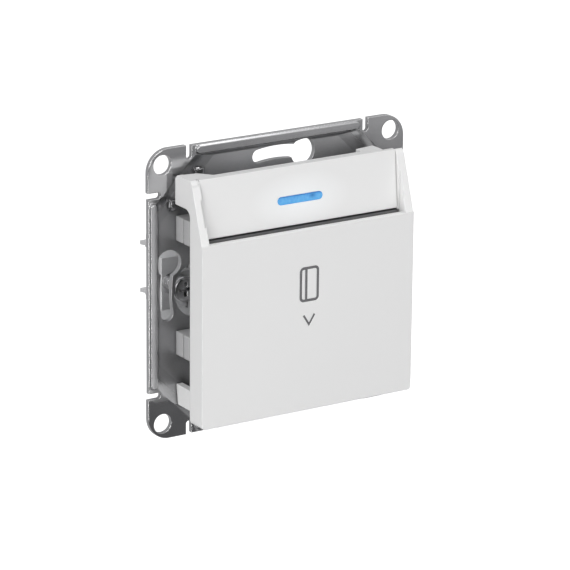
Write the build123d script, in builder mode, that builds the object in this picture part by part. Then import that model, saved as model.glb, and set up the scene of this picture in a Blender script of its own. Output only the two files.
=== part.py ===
from build123d import *
from math import cos, hypot, radians, sin, sqrt
import os

# Hotel key card switch: a flush-mounted insert, without its outer frame
# +X is right, +Z is up and -Y is the room; all lengths are in millimetres
# The origin is the centre of the square of ear holes, on the ears' wall-side face
# A stand is a distance in front of that face, and a depth is one behind it

os.makedirs("parts", exist_ok=True)

# Clearances that all the pieces share, and the overrun of their cuts
overrun = 1.0
seat_gap = 0.05
fit_gap = 0.1
run_gap = 0.05
move_gap = 0.3
sides = ((-1, "left"), (1, "right"))

# Support plate: a steel sheet whose middle is drawn back into a shallow tray
plate_side = 70.2
sheet = 1.2
tray_depth = 0.8
ear_radius = 5.5
ear_pitch = 62.6
ear_hole_radius = 2.35
side_step = 0.15
rim_width = 2.6
wall_run = 0.8
facet_run = 4.5
tray_corner = 9.9
notch_place = 24.2
notch_depth = 3.3
notch_width = 1.5
bead_inset = 1.35
bead_length = 45.2
bead_width = 2.2
bead_height = 0.6
bead_taper = 28
box_screw_radius = 30.0
keyhole_round_radius = 3.25
keyhole_slot_width = 3.2
keyhole_round_angle = -14
keyhole_slot_angle = 9.6
opening_gap = 0.4
lobe_offset = 0.5
lobe_radius = 7.0
catch_near = 21.3
catch_far = 28.6
catch_radius = 1.5
catch_strip = 0.5
catch_width = 1.3

# Cover: front plate, cheeks that slant back beside the panel, and a hood at the top left
cover_width = 58.0
cover_height = 58.4
cover_stand = 15.2
cover_wall = 1.6
cover_side_stand = 9.7
cover_corner_radius = 1.0
cheek_width = 2.1
cheek_foot = 14.1
cheek_stand = 10.5
cheek_shoulder = 28.4
cheek_round = 3.0
mouth_height = 14.9
top_wall = 1.4
top_wall_depth = 1.1
hood_stand = 3.1
hood_foot = 22.2
hood_round = 2.0
hood_chamfer = 0.8
hood_reach = 4.9
hood_slope = 0.7
hood_curve = 2.6
tab_left_end = 18.9
tab_right_end = 24.2
tab_stand = 5.3
tab_slope = 0.8
leg_thickness = 1.6
leg_inset = 1.8
leg_low = 22.3
leg_high = 27.2
leg_link = 1.0
barb_height = 0.8
barb_length = 1.2
barb_stand = 1.6

# Card pocket: a channel between the front plate and the card guide
channel_width = 54.7
channel_depth = 2.0
stop_height = -20.9

# Slanted panel between the cheeks, and the light window in it
panel_foot = 15.3
panel_foot_stand = 11.4
panel_top_stand = 10.1
panel_thickness = 1.2
lens_height_place = 21.3
lens_length = 12.4
lens_height = 2.0
lens_flange = 0.9
lens_flange_thickness = 0.8

# Grey symbol inlaid in the front plate: a card with its stripe, and a chevron
inlay_depth = 0.35
symbol_width = 5.3
symbol_height = 8.5
symbol_centre = 1.7
symbol_line = 0.65
symbol_radius = 1.1
stripe_place = -0.85
chevron_width = 3.0
chevron_top = -5.8
chevron_bottom = -8.15
chevron_line = 0.5

# Chassis: a frame on the tray, with ribbed posts that show beside the cover
chassis_width = 47.0
chassis_low = -27.0
chassis_high = 26.0
chassis_stand = 9.8
chassis_shoulder_stand = 7.2
chassis_floor = 1.6
chassis_wall = 1.6
window_width = 22.0
window_low = -13.0
window_high = 13.4
waist_radius = 4.6
post_face = 27.2
post_stand = 9.5
upper_post_low = 12.6
upper_post_high = 18.5
lower_post_low = -15.1
lower_post_high = -9.4
post_groove_width = 0.5
post_groove_depth = 0.4
post_groove_stands = (3.4, 6.4)
catch_block_width = 1.7
catch_block_low = 22.2
catch_block_high = 25.8
catch_block_stand = 3.2

# Card guide: the pocket's back wall and stop, with lugs for the card lever
guide_thickness = 1.6
guide_top_gap = 0.5
guide_foot_width = 50.4
stop_thickness = 1.5
stop_gap = 0.3
guide_screw_x = 21.5
guide_screw_top = 11.0
guide_screw_bottom = -16.5
guide_screw_radius = 0.85
guide_screw_head = 1.7
guide_screw_length = 6.5
guide_boss_radius = 2.0

# Card lever: hinged at its top, its nose reaches into the card channel
lever_pivot_height = 8.6
lever_pivot_stand = 7.4
lever_pin_radius = 1.0
lever_knuckle_radius = 2.2
lever_width = 7.2
lever_back_stand = 5.0
lever_thickness = 2.0
lever_low = -12.5
nose_top = -0.8
nose_shoulder = -2.4
nose_tip_top = -5.4
nose_tip_bottom = -7.0
nose_heel = -10.0
nose_bottom = -11.6
lug_width = 2.0
lug_wall = 1.4
lever_spring_place = -8.0
lever_spring_radius = 2.0
lever_spring_wire = 0.45
lever_spring_turns = 4
spring_peg_radius = 1.3
spring_peg_height = 0.8

# Plunger from the lever through the lid to the contact arm
plunger_height = 2.0
plunger_radius = 1.5
plunger_collar_radius = 2.3
plunger_collar = 0.8
plunger_play = 0.4
plunger_chamfer = 0.6
lid_boss_radius = 3.0
boss_to_arm = 3.0

# Mechanism housing behind the plate, closed in front by its lid
housing_width = 40.4
housing_top = 19.0
housing_bottom = -22.0
housing_depth = 22.0
housing_wall = 1.8
housing_corner = 5.0
lid_inset = 1.3
lid_corner = 4.0
clamp_screw_inset = 4.0
clamp_screw_top_inset = 4.6
clamp_screw_bottom_inset = 4.7
clamp_screw_radius = 1.45
clamp_screw_head_radius = 2.7
clamp_screw_head = 2.0
clamp_screw_length = 11.0
clamp_boss_width = 4.8
clamp_boss_height = 5.6
recess_width = 0.8

# Terminals: three cages on the lower side, wires enter from the back
terminal_pitch = 10.4
terminal_names = ("line", "load", "neutral")
bar_top = -11.0
strip_thickness = 1.0
bar_half_width = 1.9
cage_width = 6.6
cage_length = 6.2
cage_side = 1.0
cage_roof = 1.0
cage_foot = 1.8
cage_foot_gap = 2.1
wire_gap = 3.0
wire_hole_radius = 1.8
terminal_screw_radius = 1.75
terminal_screw_head_radius = 2.6
terminal_screw_head = 2.0
terminal_head_recess = 0.6
riser_foot_half_width = 4.1
strip_to_back = 9.8

# Contacts: an arm on a pin, and silver tips
arm_pin_height = 12.0
arm_to_strip = 3.8
arm_pin_radius = 0.8
arm_thickness = 0.8
arm_width = 5.2
arm_low = -3.9
knuckle_radius = 1.5
tip_height = -2.4
tip_radius = 1.5
arm_tip_length = 0.8
contact_opening = 1.8
fork_thickness = 0.8
crossing_low = 4.0
crossing_high = 14.0
load_strip_high = -0.3
contact_spring_place = 6.0
contact_spring_radius = 1.4
contact_spring_wire = 0.35
contact_spring_turns = 3

# Indicator light on its board, fed by two leads
board_width = 23.0
board_height = 9.8
board_place = 19.3
board_stand = 5.2
board_thickness = 1.0
board_post_x = 7.8
board_post_z = 22.6
board_post_radius = 1.6
board_peg_radius = 0.7
board_peg_height = 1.6
led_width = 3.5
led_height = 2.8
led_body = 1.5
led_dome_radius = 1.1
lead_radius = 0.5
lead_height = 15.4
lead_end = 0.8
resistor_radius = 1.1
resistor_length = 5.2
resistor_cap = 0.8
resistor_step = 0.15
diode_radius = 1.25
diode_length = 4.4
component_row = 18.9
component_x = 5.6

# Claws: each hooks in a groove of the housing and is swung out by its screw
claw_screw_offset = 4.0
claw_screw_radius = 1.75
claw_head_radius = 3.0
claw_head = 2.3
claw_head_depth = 0.4
claw_screw_length = 14.2
tongue_thickness = 1.1
tongue_radius = 3.9
tongue_offset = 2.2
claw_sheet = 1.0
claw_web_depth = 6.4
claw_web_reach = 6.9
claw_half_height = 6.4
claw_tip_offset = 3.8
claw_tip_depth = 21.8
claw_arm_offset = 1.2
claw_tooth = 2.4
claw_tooth_rise = 1.0
claw_flare = 2.2
claw_hole_radius = 2.5
nut_radius = 2.5
nut_length = 9.6

# Levels and sizes that follow from the driving ones
tray_front = sheet - tray_depth
mouth_side = plate_side - 2 * rim_width
floor_side = mouth_side - 2 * wall_run
floor_corner = floor_side - mouth_side + tray_corner + facet_run * sqrt(2)
facet_start = floor_side - floor_corner
facet_slope = tray_depth / (facet_run * sqrt(2))
cover_back = cover_stand - cover_wall
guide_front = cover_back - channel_depth
guide_back = guide_front - guide_thickness
half_width = cover_width / 2
half_height = cover_height / 2
panel_run = half_height - panel_foot
panel_lean = (panel_foot_stand - panel_top_stand) / panel_run
panel_back_step = panel_thickness * hypot(1, panel_lean)
lens_stand = panel_foot_stand - panel_lean * (lens_height_place - panel_foot)
lens_plane = Plane(
    origin=(0, -lens_stand, lens_height_place), x_dir=(1, 0, 0), z_dir=(0, -1, panel_lean)
)
housing_side = housing_width / 2
lobe_centre = housing_side + lobe_offset
clamp_screw_x = housing_side - clamp_screw_inset
clamp_screw_top = housing_top - clamp_screw_top_inset
clamp_screw_bottom = housing_bottom + clamp_screw_bottom_inset
claw_screw_x = housing_side + claw_screw_offset
tongue_centre = housing_side + tongue_offset
claw_pivot_x = housing_side + fit_gap
claw_outer_x = housing_side + claw_web_reach
claw_tip_x = housing_side + claw_tip_offset
claw_arm_inner_x = housing_side + claw_arm_offset
strip_depth = housing_depth - strip_to_back
arm_pin_depth = strip_depth - arm_to_strip
lid_boss_depth = arm_pin_depth - boss_to_arm
cavity_width = housing_width - 2 * housing_wall
cavity_top = housing_top - housing_wall
cavity_bottom = housing_bottom + housing_wall
housing_height = housing_top - housing_bottom
housing_middle = (housing_top + housing_bottom) / 2
lid_width = housing_width - 2 * lid_inset
lid_height = housing_height - 2 * lid_inset
housing_back = tray_depth + housing_depth
cavity_back = housing_back - housing_wall
plunger_front = lever_back_stand - plunger_play
arm_front_depth = arm_pin_depth - arm_thickness / 2
arm_back_depth = arm_pin_depth + arm_thickness / 2
plunger_back = arm_front_depth - plunger_play
fixed_tip_depth = arm_back_depth + arm_tip_length + contact_opening
bar_bottom = bar_top - strip_thickness
cage_roof_bottom = bar_top + wire_gap
cage_top = cage_roof_bottom + cage_roof
cage_foot_top = bar_bottom - cage_foot_gap
cage_bottom = cage_foot_top - cage_foot
cage_front = strip_depth + strip_thickness + overrun
cage_back = cage_front + cage_length
terminal_depth = cage_front + cage_length / 2
wire_height = bar_top + wire_gap / 2
head_floor_depth = claw_head_depth + claw_head
claw_pivot_depth = claw_web_depth + claw_sheet / 2
nut_depth = claw_web_depth + claw_sheet + move_gap + nut_radius


def opposite_corners(width, height):
    """The point this far out towards the top left corner, and the one opposite it."""
    return [(-width, height), (width, -height)]


def tray_stand(reach):
    """Stand of the tray's front where the two distances from its centre add up to this."""
    return tray_front + max(0, reach - facet_start) * facet_slope


# Mounting plate: rim, tray, beads, ears, keyholes, notches, opening and frame catches
catches = [(point, Vector(1, 0, 0)) for point in opposite_corners(catch_near, catch_far)]
catches += [(point, Vector(0, 0, 1)) for point in opposite_corners(catch_far, catch_near)]
through = sheet + tray_depth + overrun
with BuildPart() as mounting_plate:
    with BuildSketch(Plane.XZ):
        RectangleRounded(plate_side, plate_side, ear_radius)
        with PolarLocations(plate_side / 2, 4):
            Rectangle(2 * side_step, 2 * notch_place, mode=Mode.SUBTRACT)
    extrude(amount=sheet)
    with BuildSketch(Plane.XZ) as pad_mouth:
        Rectangle(mouth_side, mouth_side)
        chamfer(pad_mouth.vertices(), tray_corner)
    with BuildSketch(Plane.XZ.offset(-tray_depth)) as pad_floor:
        Rectangle(floor_side, floor_side)
        chamfer(pad_floor.vertices(), floor_corner)
    loft(ruled=True)
    with BuildSketch(Plane.XZ.offset(sheet)) as tray_mouth:
        Rectangle(mouth_side, mouth_side)
        chamfer(tray_mouth.vertices(), tray_corner)
    with BuildSketch(Plane.XZ.offset(tray_front)) as tray_floor:
        Rectangle(floor_side, floor_side)
        chamfer(tray_floor.vertices(), floor_corner)
    loft(ruled=True, mode=Mode.SUBTRACT)
    with BuildSketch(Plane.XZ.offset(sheet)):
        with PolarLocations(plate_side / 2 - bead_inset, 4):
            SlotOverall(bead_length, bead_width, rotation=90)
    extrude(amount=bead_height, taper=bead_taper)
    with BuildSketch(Plane.XZ):
        with PolarLocations(plate_side / 2 - bead_inset, 4):
            SlotOverall(bead_length - bead_width / 2, bead_width / 2, rotation=90)
    extrude(amount=bead_height, mode=Mode.SUBTRACT)
    with BuildSketch(Plane.XZ):
        with GridLocations(ear_pitch, ear_pitch, 2, 2):
            Circle(ear_hole_radius)
        with PolarLocations(box_screw_radius, 4, start_angle=keyhole_round_angle):
            Circle(keyhole_round_radius)
        for quarter in range(4):
            with BuildLine() as keyhole_line:
                CenterArc(
                    (0, 0),
                    box_screw_radius,
                    start_angle=90 * quarter + keyhole_round_angle,
                    arc_size=keyhole_slot_angle - keyhole_round_angle,
                )
            SlotArc(keyhole_line.wire(), keyhole_slot_width)
        with PolarLocations(plate_side / 2, 4):
            with Locations((0, -notch_place), (0, notch_place)):
                SlotOverall(2 * notch_depth, notch_width)
        with Locations((0, housing_middle)):
            Rectangle(lid_width + 2 * opening_gap, lid_height + 2 * opening_gap)
        with Locations((-lobe_centre, 0), (lobe_centre, 0)):
            Circle(lobe_radius)
        with Locations(*[point for point, along in catches if along.X]):
            Rectangle(2 * (catch_radius - catch_strip), catch_width)
        with Locations(*[point for point, along in catches if not along.X]):
            Rectangle(catch_width, 2 * (catch_radius - catch_strip))
    extrude(amount=through, both=True, mode=Mode.SUBTRACT)
    for (catch_x, catch_z), along in catches:
        catch_plane = Plane(
            origin=(catch_x, -tray_front, catch_z), x_dir=along, z_dir=along.cross(Vector(0, -1, 0))
        )
        with BuildSketch(catch_plane):
            Circle(catch_radius)
            Circle(catch_radius - catch_strip, mode=Mode.SUBTRACT)
            with Locations((0, -sheet / 2)):
                Rectangle(
                    2 * catch_radius,
                    2 * catch_radius,
                    align=(Align.CENTER, Align.MAX),
                    mode=Mode.SUBTRACT,
                )
        extrude(amount=catch_width / 2, both=True)
mounting_plate.part.label = "mounting_plate"
export_step(mounting_plate.part, "parts/mounting_plate.step")

# Symbol: one flat shape that cuts its pocket in the cover and makes the inlay
with BuildSketch(Plane.XZ.offset(cover_stand - inlay_depth)) as symbol:
    with Locations((0, symbol_centre)):
        RectangleRounded(symbol_width, symbol_height, symbol_radius)
        RectangleRounded(
            symbol_width - 2 * symbol_line,
            symbol_height - 2 * symbol_line,
            symbol_radius - symbol_line,
            mode=Mode.SUBTRACT,
        )
    with Locations((stripe_place, symbol_centre)):
        Rectangle(symbol_line, symbol_height - symbol_line)
    with BuildLine() as chevron_path:
        Polyline(
            (-chevron_width / 2, chevron_top),
            (0, chevron_bottom),
            (chevron_width / 2, chevron_top),
        )
    trace(chevron_path.line, chevron_line)

with BuildPart() as pictogram_inlay:
    extrude(symbol.sketch, amount=inlay_depth)
pictogram_inlay.part.label = "pictogram_inlay"
export_step(pictogram_inlay.part, "parts/pictogram_inlay.step")

# Front cover: side walls with cheeks, front plate, bottom and top walls, hood and legs
leg_outer = half_width - leg_inset
leg_inner = leg_outer - leg_thickness
leg_length = leg_high - leg_low
leg_near_foot = tray_stand(leg_outer + leg_low) + seat_gap
leg_far_foot = tray_stand(leg_outer + leg_high) + seat_gap
panel_back_top_stand = panel_top_stand - panel_back_step - fit_gap
top_wall_stand = panel_back_top_stand - top_wall_depth
link_stand = top_wall_stand - leg_link / 2
with BuildPart() as front_cover:
    with BuildSketch(Plane.YZ.offset(-half_width)) as cheek:
        with BuildLine():
            Polyline(
                (-cover_side_stand, -half_height),
                (-cover_stand, -half_height),
                (-cover_stand, cheek_foot),
                (-cheek_stand, cheek_shoulder),
                (-cover_side_stand, half_height),
                close=True,
            )
        make_face()
        fillet(cheek.vertices().sort_by(Axis.Y)[-2], cheek_round)
    extrude(amount=cheek_width)
    mirror(about=Plane.YZ)
    with BuildSketch(Plane.XZ.offset(cover_side_stand)):
        with Locations((0, -half_height)):
            Rectangle(
                cover_width - 2 * cover_wall, half_height + mouth_height, align=(Align.CENTER, Align.MIN)
            )
    extrude(amount=guide_front - cover_side_stand, mode=Mode.SUBTRACT)
    with BuildSketch(Plane.YZ.offset(-half_width)):
        with BuildLine():
            Polyline(
                (-cover_side_stand, hood_foot - hood_round),
                (-cover_side_stand - overrun, hood_foot - hood_round),
                (-cover_side_stand - overrun, half_height - hood_chamfer),
                (-cover_side_stand, half_height),
                (-hood_stand - hood_chamfer, half_height),
                (-hood_stand, half_height - hood_chamfer),
                (-hood_stand, hood_foot),
                (-cover_side_stand + hood_round, hood_foot),
            )
            CenterArc(
                (-cover_side_stand + hood_round, hood_foot - hood_round),
                hood_round,
                start_angle=90,
                arc_size=90,
            )
        make_face()
    extrude(amount=cover_wall)
    with BuildSketch(Plane.XZ.offset(cover_back)):
        with Locations((0, mouth_height)):
            Rectangle(cover_width, half_height + mouth_height, align=(Align.CENTER, Align.MAX))
    extrude(amount=cover_wall)
    with BuildSketch(Plane.XZ.offset(cover_side_stand)):
        with Locations((0, -half_height)):
            Rectangle(cover_width, cover_wall, align=(Align.CENTER, Align.MIN))
    extrude(until=Until.NEXT)
    with BuildSketch(Plane.XY.offset(half_height - top_wall)):
        with BuildLine():
            Polyline(
                (-half_width, -panel_back_top_stand),
                (-half_width, -hood_stand - hood_chamfer),
                (-half_width + hood_reach, -hood_stand - hood_chamfer - hood_slope),
                (-half_width + hood_reach + hood_curve, -top_wall_stand),
                (tab_left_end, -top_wall_stand),
                (tab_left_end, -tab_stand),
                (tab_right_end, -tab_stand + tab_slope),
                (tab_right_end, -panel_back_top_stand),
                close=True,
            )
        make_face()
    extrude(amount=top_wall)
    with BuildSketch(Plane.XY.offset(half_height - 2 * top_wall)):
        with Locations((half_width - cheek_width / 2, -panel_back_top_stand)):
            Rectangle(
                half_width - tab_left_end, top_wall_depth, align=(Align.MAX, Align.MIN)
            )
    extrude(amount=top_wall)
    for side in (-1, 1):
        for end, leg_top in ((-1, cover_back), (1, link_stand + leg_link)):
            with BuildSketch(Plane.YZ.offset(side * leg_inner)):
                with BuildLine():
                    Polyline(
                        (-leg_near_foot, end * leg_low),
                        (-leg_far_foot, end * leg_high),
                        (-leg_top, end * leg_high),
                        (-leg_top, end * leg_low),
                        close=True,
                    )
                make_face()
            extrude(amount=side * leg_thickness)
    with BuildSketch(Plane.XZ.offset(cover_side_stand)):
        for side in (-1, 1):
            with Locations((side * (leg_inner + half_width) / 2, -(leg_low + leg_high) / 2)):
                Rectangle(half_width - leg_inner, leg_length)
    extrude(amount=cover_back - cover_side_stand)
    with BuildSketch(Plane.XZ.offset(link_stand)):
        for side in (-1, 1):
            with Locations((side * (leg_inner + half_width) / 2, (leg_low + leg_high) / 2)):
                Rectangle(half_width - leg_inner, leg_length)
    extrude(amount=leg_link)
    with BuildSketch(Plane.XZ.offset(link_stand)):
        with Locations((half_width - cover_wall / 2, (leg_low + leg_high) / 2)):
            Rectangle(cover_wall, leg_length)
    extrude(amount=cover_side_stand - link_stand)
    with BuildSketch(Plane.XZ.offset(barb_stand)):
        for side in (-1, 1):
            for end in (-1, 1):
                barb_middle = (side * (leg_inner - barb_height / 2), end * (leg_low + leg_high) / 2)
                with Locations(barb_middle):
                    Rectangle(barb_height, leg_length / 2)
    extrude(amount=barb_length)
    with BuildSketch(Plane.XZ.offset(guide_front)):
        with Locations((0, stop_height)):
            Rectangle(channel_width, cover_height, align=(Align.CENTER, Align.MIN))
    extrude(amount=channel_depth, mode=Mode.SUBTRACT)
    extrude(symbol.sketch, amount=inlay_depth, mode=Mode.SUBTRACT)
    low_corners = front_cover.edges().filter_by(Axis.Y).group_by(Axis.Z)[0]
    fillet(low_corners, cover_corner_radius)
front_cover.part.label = "front_cover"
export_step(front_cover.part, "parts/front_cover.step")

# Slanted panel, with the window for the lens and a recess behind it for the lens flange
panel_half_width = half_width - cheek_width - fit_gap
with BuildPart() as slot_panel:
    with BuildSketch(Plane.YZ):
        with BuildLine():
            Polyline(
                (-panel_foot_stand, panel_foot),
                (-panel_top_stand, half_height),
                (-panel_top_stand + panel_back_step, half_height),
                (-panel_foot_stand + panel_back_step, panel_foot),
                close=True,
            )
        make_face()
    extrude(amount=panel_half_width, both=True)
    with BuildSketch(lens_plane):
        SlotOverall(lens_length, lens_height)
    extrude(amount=panel_thickness + overrun, both=True, mode=Mode.SUBTRACT)
slot_panel.part.label = "slot_panel"
export_step(slot_panel.part, "parts/slot_panel.step")

# Lens: a pipe through the panel and a flange behind it
with BuildPart() as indicator_lens:
    with BuildSketch(lens_plane.offset(-panel_thickness)):
        SlotOverall(lens_length - 2 * seat_gap, lens_height - 2 * seat_gap)
    extrude(amount=panel_thickness)
    with BuildSketch(lens_plane.offset(-panel_thickness - seat_gap)):
        SlotOverall(lens_length + 2 * lens_flange, lens_height + 2 * lens_flange)
    extrude(amount=-lens_flange_thickness)
    with BuildSketch(lens_plane.offset(-panel_thickness - seat_gap)):
        SlotOverall(lens_length - 2 * seat_gap, lens_height - 2 * seat_gap)
    extrude(amount=seat_gap)
indicator_lens.part.label = "indicator_lens"
export_step(indicator_lens.part, "parts/indicator_lens.step")

# Chassis: floor and ring, ribbed posts, catch blocks, screw bosses and board posts
clamp_points = [
    (side * clamp_screw_x, height) for side in (-1, 1) for height in (clamp_screw_top, clamp_screw_bottom)
]
guide_points = [
    (side * guide_screw_x, height) for side in (-1, 1) for height in (guide_screw_top, guide_screw_bottom)
]
chassis_half = chassis_width / 2
floor_front = tray_front + chassis_floor
with BuildSketch(Plane.XZ.offset(tray_front)) as flat_floor:
    Rectangle(floor_side, floor_side)
    chamfer(flat_floor.vertices(), floor_corner + move_gap)
with BuildPart() as chassis:
    with BuildSketch(Plane.XZ.offset(tray_front)):
        with Locations((0, chassis_low)):
            Rectangle(chassis_width, chassis_high - chassis_low, align=(Align.CENTER, Align.MIN))
        with Locations((-claw_screw_x, 0), (claw_screw_x, 0)):
            Circle(waist_radius, mode=Mode.SUBTRACT)
    extrude(amount=chassis_stand - tray_front)
    with BuildSketch(Plane.XZ.offset(floor_front)):
        with Locations((0, chassis_low + chassis_wall)):
            Rectangle(
                chassis_width - 2 * chassis_wall,
                chassis_high - chassis_low - 2 * chassis_wall,
                align=(Align.CENTER, Align.MIN),
            )
        with Locations((-claw_screw_x, 0), (claw_screw_x, 0)):
            Circle(waist_radius + chassis_wall, mode=Mode.SUBTRACT)
    extrude(amount=chassis_stand, mode=Mode.SUBTRACT)
    with BuildSketch(Plane.XZ.offset(floor_front)):
        with Locations(*guide_points):
            Circle(guide_boss_radius)
    extrude(amount=guide_back - seat_gap - floor_front)
    with BuildSketch(Plane.XZ.offset(chassis_shoulder_stand)):
        with Locations((0, mouth_height)):
            Rectangle(cover_width, half_height, align=(Align.CENTER, Align.MIN))
    extrude(amount=chassis_stand, mode=Mode.SUBTRACT)
    with BuildSketch(Plane.XZ.offset(tray_front)):
        for side in (-1, 1):
            for low, high in ((upper_post_low, upper_post_high), (lower_post_low, lower_post_high)):
                with Locations((side * (chassis_half - chassis_wall + post_face) / 2, (low + high) / 2)):
                    Rectangle(post_face - chassis_half + chassis_wall, high - low)
    extrude(amount=post_stand - tray_front)
    for groove_stand in post_groove_stands:
        with BuildSketch(Plane.XZ.offset(groove_stand)):
            for side in (-1, 1):
                with Locations((side * post_face, 0)):
                    Rectangle(2 * post_groove_depth, cover_height)
        extrude(amount=post_groove_width, mode=Mode.SUBTRACT)
    with BuildSketch(Plane.XZ.offset(catch_block_stand)):
        for side in (-1, 1):
            for end in (-1, 1):
                middle = end * (catch_block_low + catch_block_high) / 2
                with Locations((side * (chassis_half + catch_block_width / 2), middle)):
                    Rectangle(catch_block_width, catch_block_high - catch_block_low)
    extrude(amount=chassis_shoulder_stand - catch_block_stand)
    with BuildSketch(Plane.XZ.offset(floor_front)):
        with Locations((-board_post_x, board_post_z), (board_post_x, board_post_z)):
            Circle(board_post_radius)
    extrude(amount=board_stand - floor_front)
    with BuildSketch(Plane.XZ.offset(board_stand)):
        with Locations((-board_post_x, board_post_z), (board_post_x, board_post_z)):
            Circle(board_peg_radius)
    extrude(amount=board_peg_height)
    with BuildSketch(Plane.XZ.offset(tray_front)):
        Rectangle(plate_side, plate_side)
        add(flat_floor.sketch, mode=Mode.SUBTRACT)
    extrude(amount=sheet - tray_front + seat_gap, mode=Mode.SUBTRACT)
    with BuildSketch(Plane.XZ.offset(tray_front)):
        with Locations((0, window_low)):
            Rectangle(window_width, window_high - window_low, align=(Align.CENTER, Align.MIN))
        with Locations(*clamp_points):
            Circle(clamp_screw_radius + run_gap)
        with Locations((-terminal_pitch, lead_height), (terminal_pitch, lead_height)):
            Circle(lead_radius + move_gap)
    extrude(amount=chassis_floor, mode=Mode.SUBTRACT)
    with BuildSketch(Plane.XZ.offset(guide_back)):
        with Locations(*guide_points):
            Circle(guide_screw_radius + run_gap)
    extrude(amount=-guide_screw_length, mode=Mode.SUBTRACT)
chassis.part.label = "chassis"
export_step(chassis.part, "parts/chassis.step")

# Card guide: back wall of the channel, card stop, and two lugs for the lever's pin
guide_top = panel_foot - guide_top_gap
guide_width = cover_width - 2 * cover_wall - 2 * move_gap
lug_inner = lever_width / 2 + move_gap
with BuildPart() as card_guide:
    with BuildSketch(Plane.XZ.offset(guide_back)):
        with Locations((0, guide_top)):
            Rectangle(guide_width, guide_top - stop_height, align=(Align.CENTER, Align.MAX))
        with Locations((0, stop_height)):
            Rectangle(guide_foot_width, stop_thickness, align=(Align.CENTER, Align.MAX))
        with Locations((0, nose_top)):
            Rectangle(
                lever_width + 2 * move_gap,
                nose_top - nose_bottom + 3 * move_gap,
                align=(Align.CENTER, Align.MAX),
                mode=Mode.SUBTRACT,
            )
    extrude(amount=guide_thickness)
    with BuildSketch(Plane.XZ.offset(guide_front)):
        with Locations((0, stop_height)):
            Rectangle(guide_foot_width, stop_thickness, align=(Align.CENTER, Align.MAX))
    extrude(amount=channel_depth - stop_gap)
    for side in (-1, 1):
        with BuildSketch(Plane.YZ.offset(side * (lug_inner + lug_width / 2))):
            with Locations((-lever_pivot_stand, lever_pivot_height)):
                Circle(lever_pin_radius + lug_wall)
                Rectangle(
                    guide_back - lever_pivot_stand + seat_gap,
                    2 * (lever_pin_radius + lug_wall),
                    align=(Align.MAX, Align.CENTER),
                )
        extrude(amount=lug_width / 2, both=True)
    with BuildSketch(Plane.YZ):
        with Locations((-lever_pivot_stand, lever_pivot_height)):
            Circle(lever_pin_radius)
    extrude(amount=guide_width / 2, both=True, mode=Mode.SUBTRACT)
    with Locations(*[Plane.XZ.offset(guide_front) * Location(point) for point in guide_points]):
        CounterSinkHole(guide_screw_radius + run_gap, guide_screw_head + run_gap)
card_guide.part.label = "card_guide"
export_step(card_guide.part, "parts/card_guide.step")

# Guide screws: four alike, countersunk flush with the guide
head_cone = guide_screw_head - guide_screw_radius
with BuildPart() as guide_screws:
    with BuildSketch(Plane.XZ.offset(guide_front)):
        with Locations(*guide_points):
            Circle(guide_screw_head)
    extrude(amount=-head_cone, taper=45)
    with BuildSketch(Plane.XZ.offset(guide_front)):
        with Locations(*guide_points):
            Circle(guide_screw_radius)
    extrude(amount=-guide_screw_length)
    with BuildSketch(Plane.XZ.offset(guide_front)):
        with Locations(*guide_points):
            Rectangle(2 * guide_screw_radius, guide_screw_radius / 2)
            Rectangle(guide_screw_radius / 2, 2 * guide_screw_radius)
    extrude(amount=-head_cone, mode=Mode.SUBTRACT)
guide_screws.part.label = "guide_screws"
export_step(guide_screws.part, "parts/guide_screws.step")

# Card lever: knuckle, body, and the nose that a card pushes back
nose_stand = cover_back - move_gap
nose_shoulder_stand = guide_front + move_gap
lever_front_stand = lever_back_stand + lever_thickness
with BuildPart() as card_lever:
    with BuildSketch(Plane.YZ):
        with BuildLine():
            Polyline(
                (-lever_back_stand, lever_pivot_height),
                (-lever_back_stand, lever_low),
                (-lever_front_stand, lever_low),
                (-lever_front_stand, nose_bottom),
                (-nose_shoulder_stand, nose_heel),
                (-nose_stand, nose_tip_bottom),
                (-nose_stand, nose_tip_top),
                (-nose_shoulder_stand, nose_shoulder),
                (-lever_front_stand, nose_top),
                (-lever_front_stand, lever_pivot_height),
                close=True,
            )
        make_face()
        with Locations((-lever_pivot_stand, lever_pivot_height)):
            Circle(lever_knuckle_radius)
            Circle(lever_pin_radius + run_gap, mode=Mode.SUBTRACT)
    extrude(amount=lever_width / 2, both=True)
    with BuildSketch(Plane.XZ.offset(lever_back_stand)):
        with Locations((0, lever_spring_place)):
            Circle(spring_peg_radius)
    extrude(amount=-spring_peg_height)
card_lever.part.label = "card_lever"
export_step(card_lever.part, "parts/card_lever.step")

with BuildPart() as lever_pin:
    with BuildSketch(Plane.YZ):
        with Locations((-lever_pivot_stand, lever_pivot_height)):
            Circle(lever_pin_radius)
    extrude(amount=lug_inner + lug_width, both=True)
lever_pin.part.label = "lever_pin"
export_step(lever_pin.part, "parts/lever_pin.step")


def coil_clearance(name, radius, wire, turns, length):
    """Print the least gap between neighbouring turns, measured on points of the coil."""
    steps = 48
    points = []
    for step in range(turns * steps + 1):
        angle = radians(360 * step / steps)
        points.append((radius * cos(angle), radius * sin(angle), length * step / (turns * steps)))
    least = min(
        hypot(a[0] - b[0], a[1] - b[1], a[2] - b[2])
        for i, a in enumerate(points)
        for b in points[i + steps // 2:]
    )
    print(f"{name}: least gap between turns {least - wire:.2f} mm")


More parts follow.
